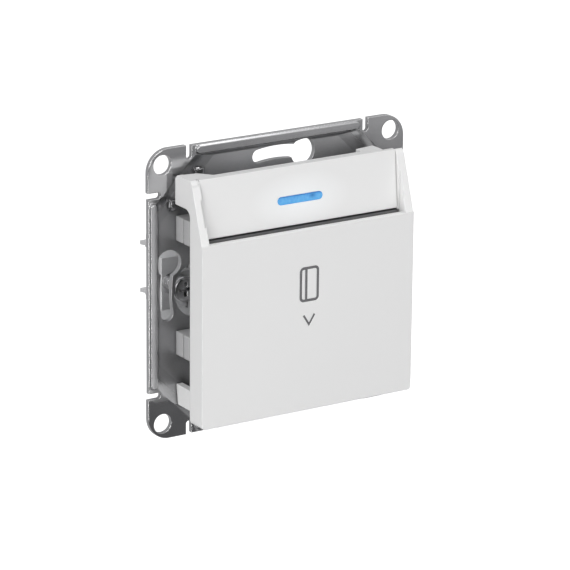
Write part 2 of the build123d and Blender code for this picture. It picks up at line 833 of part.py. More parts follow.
# Springs: one swept wire each, wound along Y between their two seats
lid_front = tray_front - seat_gap
lever_spring_length = lever_back_stand - lid_front - lever_spring_wire - 2 * seat_gap
lever_spring_start = lid_front + seat_gap + lever_spring_wire / 2
with BuildPart() as lever_spring:
    with BuildLine():
        lever_coil = Helix(
            pitch=lever_spring_length / lever_spring_turns,
            height=lever_spring_length,
            radius=lever_spring_radius,
            center=(0, -lever_spring_start, lever_spring_place),
            direction=(0, -1, 0),
        )
    with BuildSketch(lever_coil ^ 0):
        Circle(lever_spring_wire / 2)
    sweep()
coil_clearance(
    "lever_spring", lever_spring_radius, lever_spring_wire, lever_spring_turns, lever_spring_length
)
lever_spring.part.label = "lever_spring"
export_step(lever_spring.part, "parts/lever_spring.step")

contact_spring_length = strip_depth - arm_back_depth - contact_spring_wire - 2 * seat_gap
contact_spring_start = arm_back_depth + seat_gap + contact_spring_wire / 2
with BuildPart() as contact_spring:
    with BuildLine():
        contact_coil = Helix(
            pitch=contact_spring_length / contact_spring_turns,
            height=contact_spring_length,
            radius=contact_spring_radius,
            center=(0, contact_spring_start, contact_spring_place),
            direction=(0, 1, 0),
        )
    with BuildSketch(contact_coil ^ 0):
        Circle(contact_spring_wire / 2)
    sweep()
coil_clearance(
    "contact_spring",
    contact_spring_radius,
    contact_spring_wire,
    contact_spring_turns,
    contact_spring_length,
)
contact_spring.part.label = "contact_spring"
export_step(contact_spring.part, "parts/contact_spring.step")

# Plunger: a rod with a collar behind the lid's guide
with BuildPart() as plunger:
    with BuildSketch(Plane.XZ.offset(plunger_front)):
        with Locations((0, plunger_height)):
            Circle(plunger_radius)
    extrude(amount=-plunger_front - plunger_back)
    chamfer(plunger.edges().filter_by(GeomType.CIRCLE), plunger_chamfer)
    with BuildSketch(Plane.XZ.offset(-lid_boss_depth - move_gap)):
        with Locations((0, plunger_height)):
            Circle(plunger_collar_radius)
    extrude(amount=-plunger_collar)
plunger.part.label = "plunger"
export_step(plunger.part, "parts/plunger.step")

# Lid: lies in the plate's opening on the housing's rim, and guides the plunger
with BuildPart() as housing_lid:
    with BuildSketch(Plane.XZ.offset(-tray_depth)) as lid_outline:
        with Locations((0, housing_middle)):
            Rectangle(lid_width, lid_height)
        chamfer(lid_outline.vertices(), lid_corner)
    extrude(amount=tray_depth + lid_front)
    with BuildSketch(Plane.XZ.offset(lid_front)):
        with Locations((0, plunger_height)):
            Circle(lid_boss_radius)
    extrude(amount=-lid_front - lid_boss_depth)
    with BuildSketch(Plane.XZ.offset(lid_front)):
        with Locations((0, plunger_height)):
            Circle(plunger_radius + run_gap)
        with Locations(*clamp_points):
            Circle(clamp_screw_radius + run_gap)
        with Locations((-terminal_pitch, lead_height), (terminal_pitch, lead_height)):
            Circle(lead_radius + move_gap)
    extrude(amount=-lid_front - lid_boss_depth, mode=Mode.SUBTRACT)
housing_lid.part.label = "housing_lid"
export_step(housing_lid.part, "parts/housing_lid.step")

# Base housing: box with three terminal pockets, screw bosses, claw grooves and tongues
terminal_places = [pitch * terminal_pitch for pitch in (-1, 0, 1)]
pocket_width = cage_width + 2 * move_gap
pocket_top = cage_top + 2 * move_gap
with BuildPart() as base_housing:
    with BuildSketch(Plane.XZ.offset(-tray_depth)) as housing_outline:
        with Locations((0, housing_middle)):
            Rectangle(housing_width, housing_height)
        chamfer(housing_outline.vertices(), housing_corner)
    extrude(amount=-housing_depth)
    with BuildSketch(Plane.XZ.offset(-tray_depth)):
        with Locations((0, pocket_top)):
            Rectangle(cavity_width, cavity_top - pocket_top, align=(Align.CENTER, Align.MIN))
        for side in (-1, 1):
            with Locations((side * cavity_width / 2, cavity_top)):
                Rectangle(
                    clamp_boss_width,
                    clamp_boss_height,
                    align=(Align.MAX if side > 0 else Align.MIN, Align.MAX),
                    mode=Mode.SUBTRACT,
                )
        for place in terminal_places:
            with Locations((place, cavity_bottom)):
                Rectangle(pocket_width, pocket_top - cavity_bottom, align=(Align.CENTER, Align.MIN))
    extrude(amount=-cavity_back + tray_depth, mode=Mode.SUBTRACT)
    with BuildSketch(Plane.XZ.offset(-strip_depth + run_gap)):
        for place in terminal_places:
            with Locations((place, bar_bottom - run_gap)):
                Rectangle(
                    2 * (riser_foot_half_width + run_gap),
                    pocket_top - bar_bottom + run_gap,
                    align=(Align.CENTER, Align.MIN),
                )
    extrude(amount=-strip_thickness - 2 * run_gap, mode=Mode.SUBTRACT)
    with BuildSketch(Plane.XZ.offset(-cavity_back + overrun)):
        for place in terminal_places:
            with Locations((place, wire_height)):
                Circle(wire_hole_radius)
    extrude(amount=-housing_wall - 2 * overrun, mode=Mode.SUBTRACT)
    with BuildSketch(Plane.XY.offset(housing_bottom)):
        for place in terminal_places:
            with Locations((place, terminal_depth)):
                Circle(terminal_screw_head_radius + move_gap)
    extrude(amount=housing_wall + overrun, mode=Mode.SUBTRACT)
    with BuildSketch(Plane.XZ.offset(-tray_depth)):
        with Locations(*clamp_points):
            Circle(clamp_screw_radius + run_gap)
    extrude(amount=-clamp_screw_length, mode=Mode.SUBTRACT)
    with BuildSketch(Plane.XZ.offset(-strip_depth - strip_thickness - seat_gap)):
        for place in (-terminal_pitch, terminal_pitch):
            with Locations((place, lead_height)):
                Circle(arm_pin_radius * 2)
        with Locations((0, (crossing_low + crossing_high) / 2)):
            Circle(arm_pin_radius * 2)
        with Locations((0, (pocket_top + load_strip_high) / 2)):
            Circle(arm_pin_radius * 2)
    extrude(amount=-cavity_back - overrun / 2 + strip_depth + strip_thickness + seat_gap)
    with BuildSketch(Plane.XZ.offset(-head_floor_depth)):
        for side in (-1, 1):
            with Locations((side * tongue_centre, 0)):
                Circle(tongue_radius)
            with Locations((side * (housing_width / 2 + tongue_centre) / 2, 0)):
                Rectangle(tongue_centre - housing_width / 2 + overrun, 2 * tongue_radius)
    extrude(amount=-tongue_thickness)
    with BuildSketch(Plane.XZ.offset(-head_floor_depth)):
        with Locations((-claw_screw_x, 0), (claw_screw_x, 0)):
            Circle(claw_screw_radius + run_gap)
    extrude(amount=-tongue_thickness, mode=Mode.SUBTRACT)
    with BuildSketch(Plane.XZ.offset(-claw_pivot_depth)):
        for side in (-1, 1):
            with Locations((side * housing_width / 2, 0)):
                Rectangle(2 * recess_width, 2 * (claw_half_height + move_gap))
    extrude(amount=claw_sheet / 2 + move_gap, both=True, mode=Mode.SUBTRACT)
base_housing.part.label = "base_housing"
export_step(base_housing.part, "parts/base_housing.step")

# Clamp screws: four alike, from the chassis floor through the lid into the housing
with BuildPart() as chassis_screws:
    with BuildSketch(Plane.XZ.offset(floor_front + seat_gap)):
        with Locations(*clamp_points):
            Circle(clamp_screw_head_radius)
    extrude(amount=clamp_screw_head)
    with BuildSketch(Plane.XZ.offset(floor_front + seat_gap)):
        with Locations(*clamp_points):
            Circle(clamp_screw_radius)
    extrude(amount=-clamp_screw_length)
    with BuildSketch(Plane.XZ.offset(floor_front + clamp_screw_head)):
        with Locations(*clamp_points):
            Rectangle(2 * clamp_screw_radius, clamp_screw_radius / 2)
            Rectangle(clamp_screw_radius / 2, 2 * clamp_screw_radius)
    extrude(amount=clamp_screw_head, both=True, mode=Mode.SUBTRACT)
chassis_screws.part.label = "chassis_screws"
export_step(chassis_screws.part, "parts/chassis_screws.step")

# Terminal strips: a bar in each cage, and a riser that stands in the housing's grooves
strip_back = strip_depth + strip_thickness
arm_fork = arm_width / 2 + move_gap + fork_thickness
strip_tops = {"line": crossing_high, "load": load_strip_high, "neutral": lead_height}
for name, place in zip(terminal_names, terminal_places):
    riser_top = max(strip_tops[name], lead_height + 2 * lead_radius) if place else load_strip_high
    with BuildPart() as strip:
        with BuildSketch(Plane.XY.offset(bar_bottom)):
            with Locations((place, strip_depth)):
                Rectangle(
                    2 * bar_half_width, cage_back - strip_depth - run_gap, align=(Align.CENTER, Align.MIN)
                )
        extrude(amount=strip_thickness)
        with BuildSketch(Plane.XZ.offset(-strip_depth)):
            with Locations((place, bar_bottom)):
                Rectangle(
                    2 * riser_foot_half_width, pocket_top - bar_bottom, align=(Align.CENTER, Align.MIN)
                )
                Rectangle(2 * bar_half_width, riser_top - bar_bottom, align=(Align.CENTER, Align.MIN))
            if name == "line":
                with Locations((place - bar_half_width, crossing_low)):
                    Rectangle(
                        arm_fork + bar_half_width - place,
                        crossing_high - crossing_low,
                        align=(Align.MIN, Align.MIN),
                    )
        extrude(amount=-strip_thickness)
        if name == "line":
            for side in (-1, 1):
                with BuildSketch(Plane.YZ.offset(side * (arm_fork - fork_thickness / 2))):
                    with Locations((arm_pin_depth, arm_pin_height)):
                        Circle(knuckle_radius)
                        Rectangle(
                            strip_depth - arm_pin_depth + strip_thickness / 2,
                            2 * knuckle_radius,
                            align=(Align.MIN, Align.CENTER),
                        )
                extrude(amount=fork_thickness / 2, both=True)
            with BuildSketch(Plane.YZ):
                with Locations((arm_pin_depth, arm_pin_height)):
                    Circle(arm_pin_radius)
            extrude(amount=arm_fork, both=True, mode=Mode.SUBTRACT)
        if place:
            with BuildSketch(Plane.XZ.offset(-strip_depth)):
                with Locations((place, lead_height)):
                    Circle(lead_radius)
            extrude(amount=-strip_thickness, mode=Mode.SUBTRACT)
    strip.part.label = f"{name}_strip"
    export_step(strip.part, f"parts/{name}_strip.step")

# Terminal cages and their screws, one of each per terminal
for name, place in zip(terminal_names, terminal_places):
    with BuildPart() as cage:
        with BuildSketch(Plane.XZ.offset(-cage_front)):
            with Locations((place, cage_bottom)):
                Rectangle(cage_width, cage_top - cage_bottom, align=(Align.CENTER, Align.MIN))
            with Locations((place, cage_foot_top)):
                Rectangle(
                    cage_width - 2 * cage_side,
                    cage_roof_bottom - cage_foot_top,
                    align=(Align.CENTER, Align.MIN),
                    mode=Mode.SUBTRACT,
                )
        extrude(amount=-cage_length)
        with BuildSketch(Plane.XY.offset(cage_bottom)):
            with Locations((place, terminal_depth)):
                Circle(terminal_screw_radius + run_gap)
        extrude(amount=cage_foot, mode=Mode.SUBTRACT)
    cage.part.label = f"{name}_cage"
    export_step(cage.part, f"parts/{name}_cage.step")

    head_bottom = housing_bottom + terminal_head_recess
    with BuildPart() as terminal_screw:
        with BuildSketch(Plane.XY.offset(head_bottom)):
            with Locations((place, terminal_depth)):
                Circle(terminal_screw_head_radius)
        extrude(amount=terminal_screw_head)
        with BuildSketch(Plane.XY.offset(head_bottom)):
            with Locations((place, terminal_depth)):
                Circle(terminal_screw_radius)
        extrude(amount=bar_bottom - move_gap - head_bottom)
        with BuildSketch(Plane.XY.offset(head_bottom)):
            with Locations((place, terminal_depth)):
                Rectangle(2 * terminal_screw_radius, terminal_screw_radius / 2)
                Rectangle(terminal_screw_radius / 2, 2 * terminal_screw_radius)
        extrude(amount=terminal_screw_head / 2, mode=Mode.SUBTRACT)
    terminal_screw.part.label = f"{name}_screw"
    export_step(terminal_screw.part, f"parts/{name}_screw.step")

# Contact arm with its knuckle, its pin, and the two silver tips
with BuildPart() as contact_arm:
    with BuildSketch(Plane.YZ):
        with Locations((arm_pin_depth, arm_pin_height)):
            Circle(knuckle_radius)
            Rectangle(arm_thickness, arm_pin_height - arm_low, align=(Align.CENTER, Align.MAX))
            Circle(arm_pin_radius + run_gap, mode=Mode.SUBTRACT)
    extrude(amount=arm_width / 2, both=True)
    with BuildSketch(Plane.XZ.offset(-arm_front_depth)):
        with Locations((0, tip_height)):
            Circle(tip_radius / 2)
    extrude(amount=-arm_thickness, mode=Mode.SUBTRACT)
contact_arm.part.label = "contact_arm"
export_step(contact_arm.part, "parts/contact_arm.step")

with BuildPart() as arm_pin:
    with BuildSketch(Plane.YZ):
        with Locations((arm_pin_depth, arm_pin_height)):
            Circle(arm_pin_radius)
    extrude(amount=arm_fork, both=True)
arm_pin.part.label = "arm_pin"
export_step(arm_pin.part, "parts/arm_pin.step")

with BuildPart() as arm_contact_tip:
    with BuildSketch(Plane.XZ.offset(-arm_back_depth)):
        with Locations((0, tip_height)):
            Circle(tip_radius)
    extrude(amount=-arm_tip_length)
    with BuildSketch(Plane.XZ.offset(-arm_front_depth)):
        with Locations((0, tip_height)):
            Circle(tip_radius / 2)
    extrude(amount=-arm_thickness)
arm_contact_tip.part.label = "arm_contact_tip"
export_step(arm_contact_tip.part, "parts/arm_contact_tip.step")

with BuildPart() as fixed_contact_tip:
    with BuildSketch(Plane.XZ.offset(-fixed_tip_depth)):
        with Locations((0, tip_height)):
            Circle(tip_radius)
    extrude(amount=-strip_depth + fixed_tip_depth)
fixed_contact_tip.part.label = "fixed_contact_tip"
export_step(fixed_contact_tip.part, "parts/fixed_contact_tip.step")

# Indicator board on the chassis pegs, with its light, resistor, diode and leads
board_front = board_stand + board_thickness
lead_places = ((-terminal_pitch, lead_height), (terminal_pitch, lead_height))
peg_places = ((-board_post_x, board_post_z), (board_post_x, board_post_z))
with BuildPart() as led_board:
    with BuildSketch(Plane.XZ.offset(board_stand + seat_gap)):
        with Locations((0, board_place)):
            Rectangle(board_width, board_height)
        with Locations(*peg_places):
            Circle(board_peg_radius + run_gap, mode=Mode.SUBTRACT)
        with Locations(*lead_places):
            Circle(lead_radius + run_gap, mode=Mode.SUBTRACT)
    extrude(amount=board_thickness - seat_gap)
led_board.part.label = "led_board"
export_step(led_board.part, "parts/led_board.step")

with BuildPart() as indicator_led:
    with BuildSketch(Plane.XZ.offset(board_front)):
        with Locations((0, lens_height_place)):
            Rectangle(led_width, led_height)
    extrude(amount=led_body)
    with BuildSketch(Plane.XZ.offset(board_front + led_body)):
        with Locations((0, lens_height_place)):
            Circle(led_dome_radius)
    extrude(amount=led_dome_radius / 2, taper=45)
indicator_led.part.label = "indicator_led"
export_step(indicator_led.part, "parts/indicator_led.step")

with BuildPart() as led_resistor:
    with BuildSketch(Plane.YZ.offset(component_x)):
        with Locations((-board_front - resistor_radius, component_row)):
            Circle(resistor_radius - resistor_step)
    extrude(amount=resistor_length / 2, both=True)
    for end in (-1, 1):
        with BuildSketch(Plane.YZ.offset(component_x + end * resistor_length / 2)):
            with Locations((-board_front - resistor_radius, component_row)):
                Circle(resistor_radius)
        extrude(amount=-end * resistor_cap)
led_resistor.part.label = "led_resistor"
export_step(led_resistor.part, "parts/led_resistor.step")

with BuildPart() as led_diode:
    with BuildSketch(Plane.YZ.offset(-component_x)):
        with Locations((-board_front - diode_radius, component_row)):
            Circle(diode_radius)
    extrude(amount=diode_length / 2, both=True)
led_diode.part.label = "led_diode"
export_step(led_diode.part, "parts/led_diode.step")

with BuildPart() as led_leads:
    with BuildSketch(Plane.XZ.offset(board_front + lead_end)):
        with Locations(*lead_places):
            Circle(lead_radius)
    extrude(amount=-board_front - lead_end - strip_back)
led_leads.part.label = "led_leads"
export_step(led_leads.part, "parts/led_leads.step")

# Claws, their screws and barrel nuts, one set per side
for side, name in sides:
    with BuildPart() as claw:
        with BuildSketch(Plane.XZ.offset(-claw_web_depth)):
            with Locations((side * (claw_pivot_x + claw_outer_x) / 2, 0)):
                Rectangle(claw_outer_x - claw_pivot_x, 2 * claw_half_height)
            with Locations((side * claw_screw_x, 0)):
                SlotOverall(
                    2 * claw_hole_radius + claw_sheet / 2, 2 * claw_hole_radius, mode=Mode.SUBTRACT
                )
        extrude(amount=-claw_sheet)
        with BuildSketch(Plane.XY):
            with Locations((side * claw_pivot_x, claw_pivot_depth)):
                Circle(claw_sheet / 2)
        extrude(amount=claw_half_height, both=True)
        with BuildSketch(Plane.XY.offset(-claw_half_height)):
            with BuildLine():
                Polyline(
                    (side * claw_arm_inner_x, claw_web_depth),
                    (side * claw_outer_x, claw_web_depth),
                    (side * claw_outer_x, claw_web_depth + 2 * claw_tooth),
                    (side * (claw_tip_x - claw_tooth_rise), claw_tip_depth - 2 * claw_tooth),
                    (side * claw_tip_x, claw_tip_depth - claw_tooth),
                    (side * (claw_tip_x - claw_tooth_rise), claw_tip_depth - claw_tooth),
                    (side * claw_tip_x, claw_tip_depth),
                    (side * claw_arm_inner_x, claw_tip_depth),
                    close=True,
                )
            make_face()
        extrude(amount=claw_sheet)
        flare_middle = side * (claw_arm_inner_x + claw_tip_x - claw_tooth_rise) / 2
        flare_width = claw_tip_x - claw_tooth_rise - claw_arm_inner_x
        with BuildSketch(Plane.XZ.offset(claw_tooth_rise - claw_tip_depth)):
            with Locations((flare_middle, -claw_half_height + claw_sheet / 2)):
                Rectangle(
                    flare_width,
                    claw_flare + claw_sheet / 2 - flare_width / 2,
                    align=(Align.CENTER, Align.MAX),
                )
            with Locations((flare_middle, -claw_half_height - claw_flare + flare_width / 2)):
                Circle(flare_width / 2)
        extrude(amount=claw_sheet)
        mirror(about=Plane.XY)
    claw.part.label = f"claw_{name}"
    export_step(claw.part, f"parts/claw_{name}.step")

    with BuildPart() as claw_screw:
        with BuildSketch(Plane.XZ.offset(-head_floor_depth + seat_gap)):
            with Locations((side * claw_screw_x, 0)):
                Circle(claw_head_radius)
        extrude(amount=claw_head)
        head_front = claw_screw.faces().sort_by(Axis.Y)[0]
        fillet(head_front.edges(), claw_head / 4)
        with BuildSketch(Plane.XZ.offset(-claw_head_depth)):
            with Locations((side * claw_screw_x, 0)):
                Rectangle(2 * claw_screw_radius, claw_screw_radius / 2)
                Rectangle(claw_screw_radius / 2, 2 * claw_screw_radius)
        extrude(amount=claw_head / 2, both=True, mode=Mode.SUBTRACT)
        with BuildSketch(Plane.XZ.offset(-head_floor_depth + seat_gap)):
            with Locations((side * claw_screw_x, 0)):
                Circle(claw_screw_radius)
        extrude(amount=head_floor_depth - seat_gap - claw_screw_length)
    claw_screw.part.label = f"claw_screw_{name}"
    export_step(claw_screw.part, f"parts/claw_screw_{name}.step")

    with BuildPart() as claw_nut:
        with BuildSketch(Plane.XY):
            with Locations((side * claw_screw_x, nut_depth)):
                Circle(nut_radius)
        extrude(amount=nut_length / 2, both=True)
        with BuildSketch(Plane.XZ.offset(-nut_depth)):
            with Locations((side * claw_screw_x, 0)):
                Circle(claw_screw_radius + run_gap)
        extrude(amount=nut_radius + overrun, both=True, mode=Mode.SUBTRACT)
    claw_nut.part.label = f"claw_nut_{name}"
    export_step(claw_nut.part, f"parts/claw_nut_{name}.step")
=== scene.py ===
import math

import bmesh
import bpy

from mathutils import Matrix, Vector


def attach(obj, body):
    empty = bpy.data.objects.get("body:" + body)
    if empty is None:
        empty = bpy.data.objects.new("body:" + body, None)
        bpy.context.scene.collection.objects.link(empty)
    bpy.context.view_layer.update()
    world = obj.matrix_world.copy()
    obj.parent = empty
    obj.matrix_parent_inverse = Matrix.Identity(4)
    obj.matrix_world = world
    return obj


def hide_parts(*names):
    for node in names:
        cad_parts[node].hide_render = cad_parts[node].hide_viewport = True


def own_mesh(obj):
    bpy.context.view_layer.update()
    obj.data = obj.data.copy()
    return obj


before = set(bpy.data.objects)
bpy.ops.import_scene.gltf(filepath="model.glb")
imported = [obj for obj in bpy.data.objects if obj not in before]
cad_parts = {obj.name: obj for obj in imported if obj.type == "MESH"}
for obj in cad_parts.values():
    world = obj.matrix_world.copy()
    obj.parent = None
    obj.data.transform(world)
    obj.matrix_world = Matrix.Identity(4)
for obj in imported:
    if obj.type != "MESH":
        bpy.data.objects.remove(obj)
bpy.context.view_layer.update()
scene = bpy.context.scene
scene.view_settings.view_transform = "Standard"

# Camera: from the room, to the left of the insert and a little above it.
# It stands 845 mm away, with a narrow lens, so the plate's sides stay nearly parallel.
azimuth, elevation, roll = math.radians(32.264), math.radians(17.177), math.radians(0.49)
camera_distance = 0.84544
aim_right, aim_down = 0.001836, 0.002213
plate_front = Vector((0, -0.0012, 0))
level_share = math.cos(elevation)
ahead = Vector(
    (math.sin(azimuth) * level_share, math.cos(azimuth) * level_share, -math.sin(elevation))
)
across = Vector((math.cos(azimuth), -math.sin(azimuth), 0))
upward = across.cross(ahead)
camera_data = bpy.data.cameras.new("photo_camera")
camera_data.sensor_width = 36
camera_data.lens = 226.82
camera_data.clip_end = 20
camera = bpy.data.objects.new("photo_camera", camera_data)
camera_place = plate_front - ahead * camera_distance
aim = plate_front + across * aim_right - upward * aim_down - camera_place
turned_across = across * math.cos(roll) + upward * math.sin(roll)
axis_z = -aim.normalized()
axis_y = axis_z.cross(turned_across).normalized()
axis_x = axis_y.cross(axis_z).normalized()
camera_turn = Matrix((axis_x, axis_y, axis_z)).transposed().to_4x4()
camera.matrix_world = Matrix.Translation(camera_place) @ camera_turn
scene.collection.objects.link(camera)
scene.camera = camera

# Studio: a pale floor well below the insert, and soft lights at its left, front, top and back.
# The surroundings are dim below and in front, so that bright sheet steel shows its shape.
# The camera sees plain white behind the insert, as in a catalogue picture.
floor_half, floor_level = 6, -0.8
floor_mesh = bpy.data.meshes.new("studio_floor")
floor_corners = ((-1, -1), (1, -1), (1, 1), (-1, 1))
floor_mesh.from_pydata(
    [(x * floor_half, y * floor_half, floor_level) for x, y in floor_corners], [], [(0, 1, 2, 3)]
)
floor = bpy.data.objects.new("studio_floor", floor_mesh)
scene.collection.objects.link(floor)
floor_finish = bpy.data.materials.new("pale_floor")
floor_finish.use_nodes = True
floor_shader = floor_finish.node_tree.nodes["Principled BSDF"]
floor_shader.inputs["Base Color"].default_value = (0.9, 0.9, 0.9, 1)
floor_shader.inputs["Roughness"].default_value = 0.9
floor_shader.inputs["Emission Color"].default_value = (1, 1, 1, 1)
floor_shader.inputs["Emission Strength"].default_value = 0.75
floor_mesh.materials.append(floor_finish)
floor.visible_glossy = False
floor.visible_diffuse = False


def set_stops(ramp, *stops):
    """Gives a colour ramp these positions and colours, from its first stop to its last."""
    for element, (position, colour) in zip(ramp.elements, (stops[0], stops[-1])):
        element.position = position
        element.color = (*colour, 1)
    for position, colour in stops[1:-1]:
        ramp.elements.new(position).color = (*colour, 1)


world = bpy.data.worlds.new("studio_surroundings")
world.use_nodes = True
scene.world = world
sky = world.node_tree
sky_place = sky.nodes.new("ShaderNodeTexCoord")
sky_split = sky.nodes.new("ShaderNodeSeparateXYZ")
sky_height = sky.nodes.new("ShaderNodeMapRange")
sky_height.inputs["From Min"].default_value = -1
front_sky = sky.nodes.new("ShaderNodeValToRGB")
set_stops(
    front_sky.color_ramp,
    (0.12, (0.34, 0.34, 0.345)),
    (0.30, (0.05, 0.05, 0.052)),
    (0.40, (0.29, 0.29, 0.295)),
    (0.56, (0.46, 0.46, 0.465)),
    (0.80, (0.66, 0.66, 0.665)),
)
sky_depth = sky.nodes.new("ShaderNodeMapRange")
sky_depth.interpolation_type = "SMOOTHSTEP"
sky_depth.inputs["From Min"].default_value = -0.05
sky_depth.inputs["From Max"].default_value = 0.5
sky_blend = sky.nodes.new("ShaderNodeMixRGB")
sky_blend.inputs["Color2"].default_value = (0.46, 0.46, 0.465, 1)
sky.links.new(sky_place.outputs["Generated"], sky_split.inputs[0])
sky.links.new(sky_split.outputs["Z"], sky_height.inputs["Value"])
sky.links.new(sky_height.outputs["Result"], front_sky.inputs["Fac"])
sky.links.new(sky_split.outputs["Y"], sky_depth.inputs["Value"])
sky.links.new(sky_depth.outputs["Result"], sky_blend.inputs["Fac"])
sky.links.new(front_sky.outputs["Color"], sky_blend.inputs["Color1"])
seen = sky.nodes.new("ShaderNodeLightPath")
backdrop = sky.nodes.new("ShaderNodeMixRGB")
backdrop.inputs["Color2"].default_value = (1, 1, 1, 1)
sky.links.new(seen.outputs["Is Camera Ray"], backdrop.inputs["Fac"])
sky.links.new(sky_blend.outputs["Color"], backdrop.inputs["Color1"])
sky.links.new(backdrop.outputs["Color"], sky.nodes["Background"].inputs["Color"])

for light_name, place, power, width in (
    ("key_light", (-0.77, -0.6, 0.35), 3.75, 0.5),
    ("fill_light", (0.1, -1.05, 0.4), 2.55, 0.4),
    ("left_card", (-0.64, -0.36, -0.22), 0.8, 0.24),
    ("top_card", (0.30, 0.12, 0.62), 0.09, 0.12),
    ("low_card", (0.18, -0.29, 0.02), 0.02, 0.16),
    ("back_light", (0.25, 1.0, 0.45), 2.4, 0.5),
):
    light = bpy.data.lights.new(light_name, "AREA")
    light.energy = power
    light.size = width
    lamp = bpy.data.objects.new(light_name, light)
    lamp.location = place
    lamp.rotation_euler = (Vector((0, 0, 0)) - Vector(place)).to_track_quat("-Z", "Y").to_euler()
    lamp.visible_camera = False
    lamp.visible_glossy = light_name != "back_light"
    scene.collection.objects.link(lamp)


# Mounting plate: 1.2 mm galvanised sheet, blanked, drawn and lanced in a press.
# Its blanked edges carry a painted highlight, and its rolled faces carry a fine grain.
# The tray that is drawn into it is duller than the ears, and carries painted shade where it is shut
# in.
def node_group(name, inputs, outputs):
    """A shader node group with these sockets, its input node and its output node."""
    group = bpy.data.node_groups.new(name, "ShaderNodeTree")
    for kind, label, value in inputs:
        group.interface.new_socket(label, in_out="INPUT", socket_type=kind).default_value = value
    for kind, label in outputs:
        group.interface.new_socket(label, in_out="OUTPUT", socket_type=kind)
    return group, group.nodes.new("NodeGroupInput"), group.nodes.new("NodeGroupOutput")


# Painted light shared by all finishes: a mask for a painted highlight on edges, a mask for painted
# shade in creases, and the bevel's rounded normal.
painted_edge_highlight_and_crease_shade, edge_in, edge_out = node_group(
    "painted_edge_highlight_and_crease_shade",
    [("NodeSocketFloat", "Width", 0.0003)],
    [("NodeSocketFloat", "Mask"), ("NodeSocketFloat", "Crease Shade"), ("NodeSocketVector", "Normal")],
)
flat_match, edge_match = 0.985, 0.86
open_light, crease_light = 0.85, 0.35
crease_reach = 4
round_over = painted_edge_highlight_and_crease_shade.nodes.new("ShaderNodeBevel")
round_over.samples = 6
true_face = painted_edge_highlight_and_crease_shade.nodes.new("ShaderNodeNewGeometry")
turn = painted_edge_highlight_and_crease_shade.nodes.new("ShaderNodeVectorMath")
turn.operation = "DOT_PRODUCT"
spread = painted_edge_highlight_and_crease_shade.nodes.new("ShaderNodeMapRange")
spread.inputs["From Min"].default_value = flat_match
spread.inputs["From Max"].default_value = edge_match
# Painted shade: ambient occlusion over a short reach finds the creases that get darkened.
shade_in = painted_edge_highlight_and_crease_shade.nodes.new("ShaderNodeAmbientOcclusion")
shade_in.samples = 6
reach = painted_edge_highlight_and_crease_shade.nodes.new("ShaderNodeMath")
reach.operation = "MULTIPLY"
reach.inputs[1].default_value = crease_reach
deep = painted_edge_highlight_and_crease_shade.nodes.new("ShaderNodeMapRange")
deep.inputs["From Min"].default_value = open_light
deep.inputs["From Max"].default_value = crease_light
painted_edge_highlight_and_crease_shade.links.new(edge_in.outputs["Width"], reach.inputs[0])
painted_edge_highlight_and_crease_shade.links.new(reach.outputs[0], shade_in.inputs["Distance"])
painted_edge_highlight_and_crease_shade.links.new(shade_in.outputs["AO"], deep.inputs["Value"])
painted_edge_highlight_and_crease_shade.links.new(deep.outputs["Result"], edge_out.inputs["Crease Shade"])
painted_edge_highlight_and_crease_shade.links.new(edge_in.outputs["Width"], round_over.inputs["Radius"])
painted_edge_highlight_and_crease_shade.links.new(round_over.outputs["Normal"], turn.inputs[0])
painted_edge_highlight_and_crease_shade.links.new(true_face.outputs["True Normal"], turn.inputs[1])
painted_edge_highlight_and_crease_shade.links.new(turn.outputs["Value"], spread.inputs["Value"])
painted_edge_highlight_and_crease_shade.links.new(spread.outputs["Result"], edge_out.inputs["Mask"])
painted_edge_highlight_and_crease_shade.links.new(round_over.outputs["Normal"], edge_out.inputs["Normal"])

surface_grain, grain_in, grain_out = node_group(
    "surface_grain",
    [("NodeSocketVector", "Scale", (400, 400, 400)), ("NodeSocketFloat", "Cloud Size", 60)],
    [("NodeSocketFloat", "Height"), ("NodeSocketFloat", "Cloud")],
)
grain_place = surface_grain.nodes.new("ShaderNodeTexCoord")
grain_scale = surface_grain.nodes.new("ShaderNodeVectorMath")
grain_scale.operation = "MULTIPLY"
fine_noise = surface_grain.nodes.new("ShaderNodeTexNoise")
fine_noise.inputs["Scale"].default_value = 1
fine_noise.inputs["Detail"].default_value = 4
cloud_noise = surface_grain.nodes.new("ShaderNodeTexNoise")
cloud_noise.inputs["Detail"].default_value = 3
surface_grain.links.new(grain_place.outputs["Object"], grain_scale.inputs[0])
surface_grain.links.new(grain_in.outputs["Scale"], grain_scale.inputs[1])
surface_grain.links.new(grain_scale.outputs[0], fine_noise.inputs["Vector"])
surface_grain.links.new(grain_place.outputs["Object"], cloud_noise.inputs["Vector"])
surface_grain.links.new(grain_in.outputs["Cloud Size"], cloud_noise.inputs["Scale"])
surface_grain.links.new(fine_noise.outputs["Fac"], grain_out.inputs["Height"])
surface_grain.links.new(cloud_noise.outputs["Fac"], grain_out.inputs["Cloud"])


relief_strength = 0.35


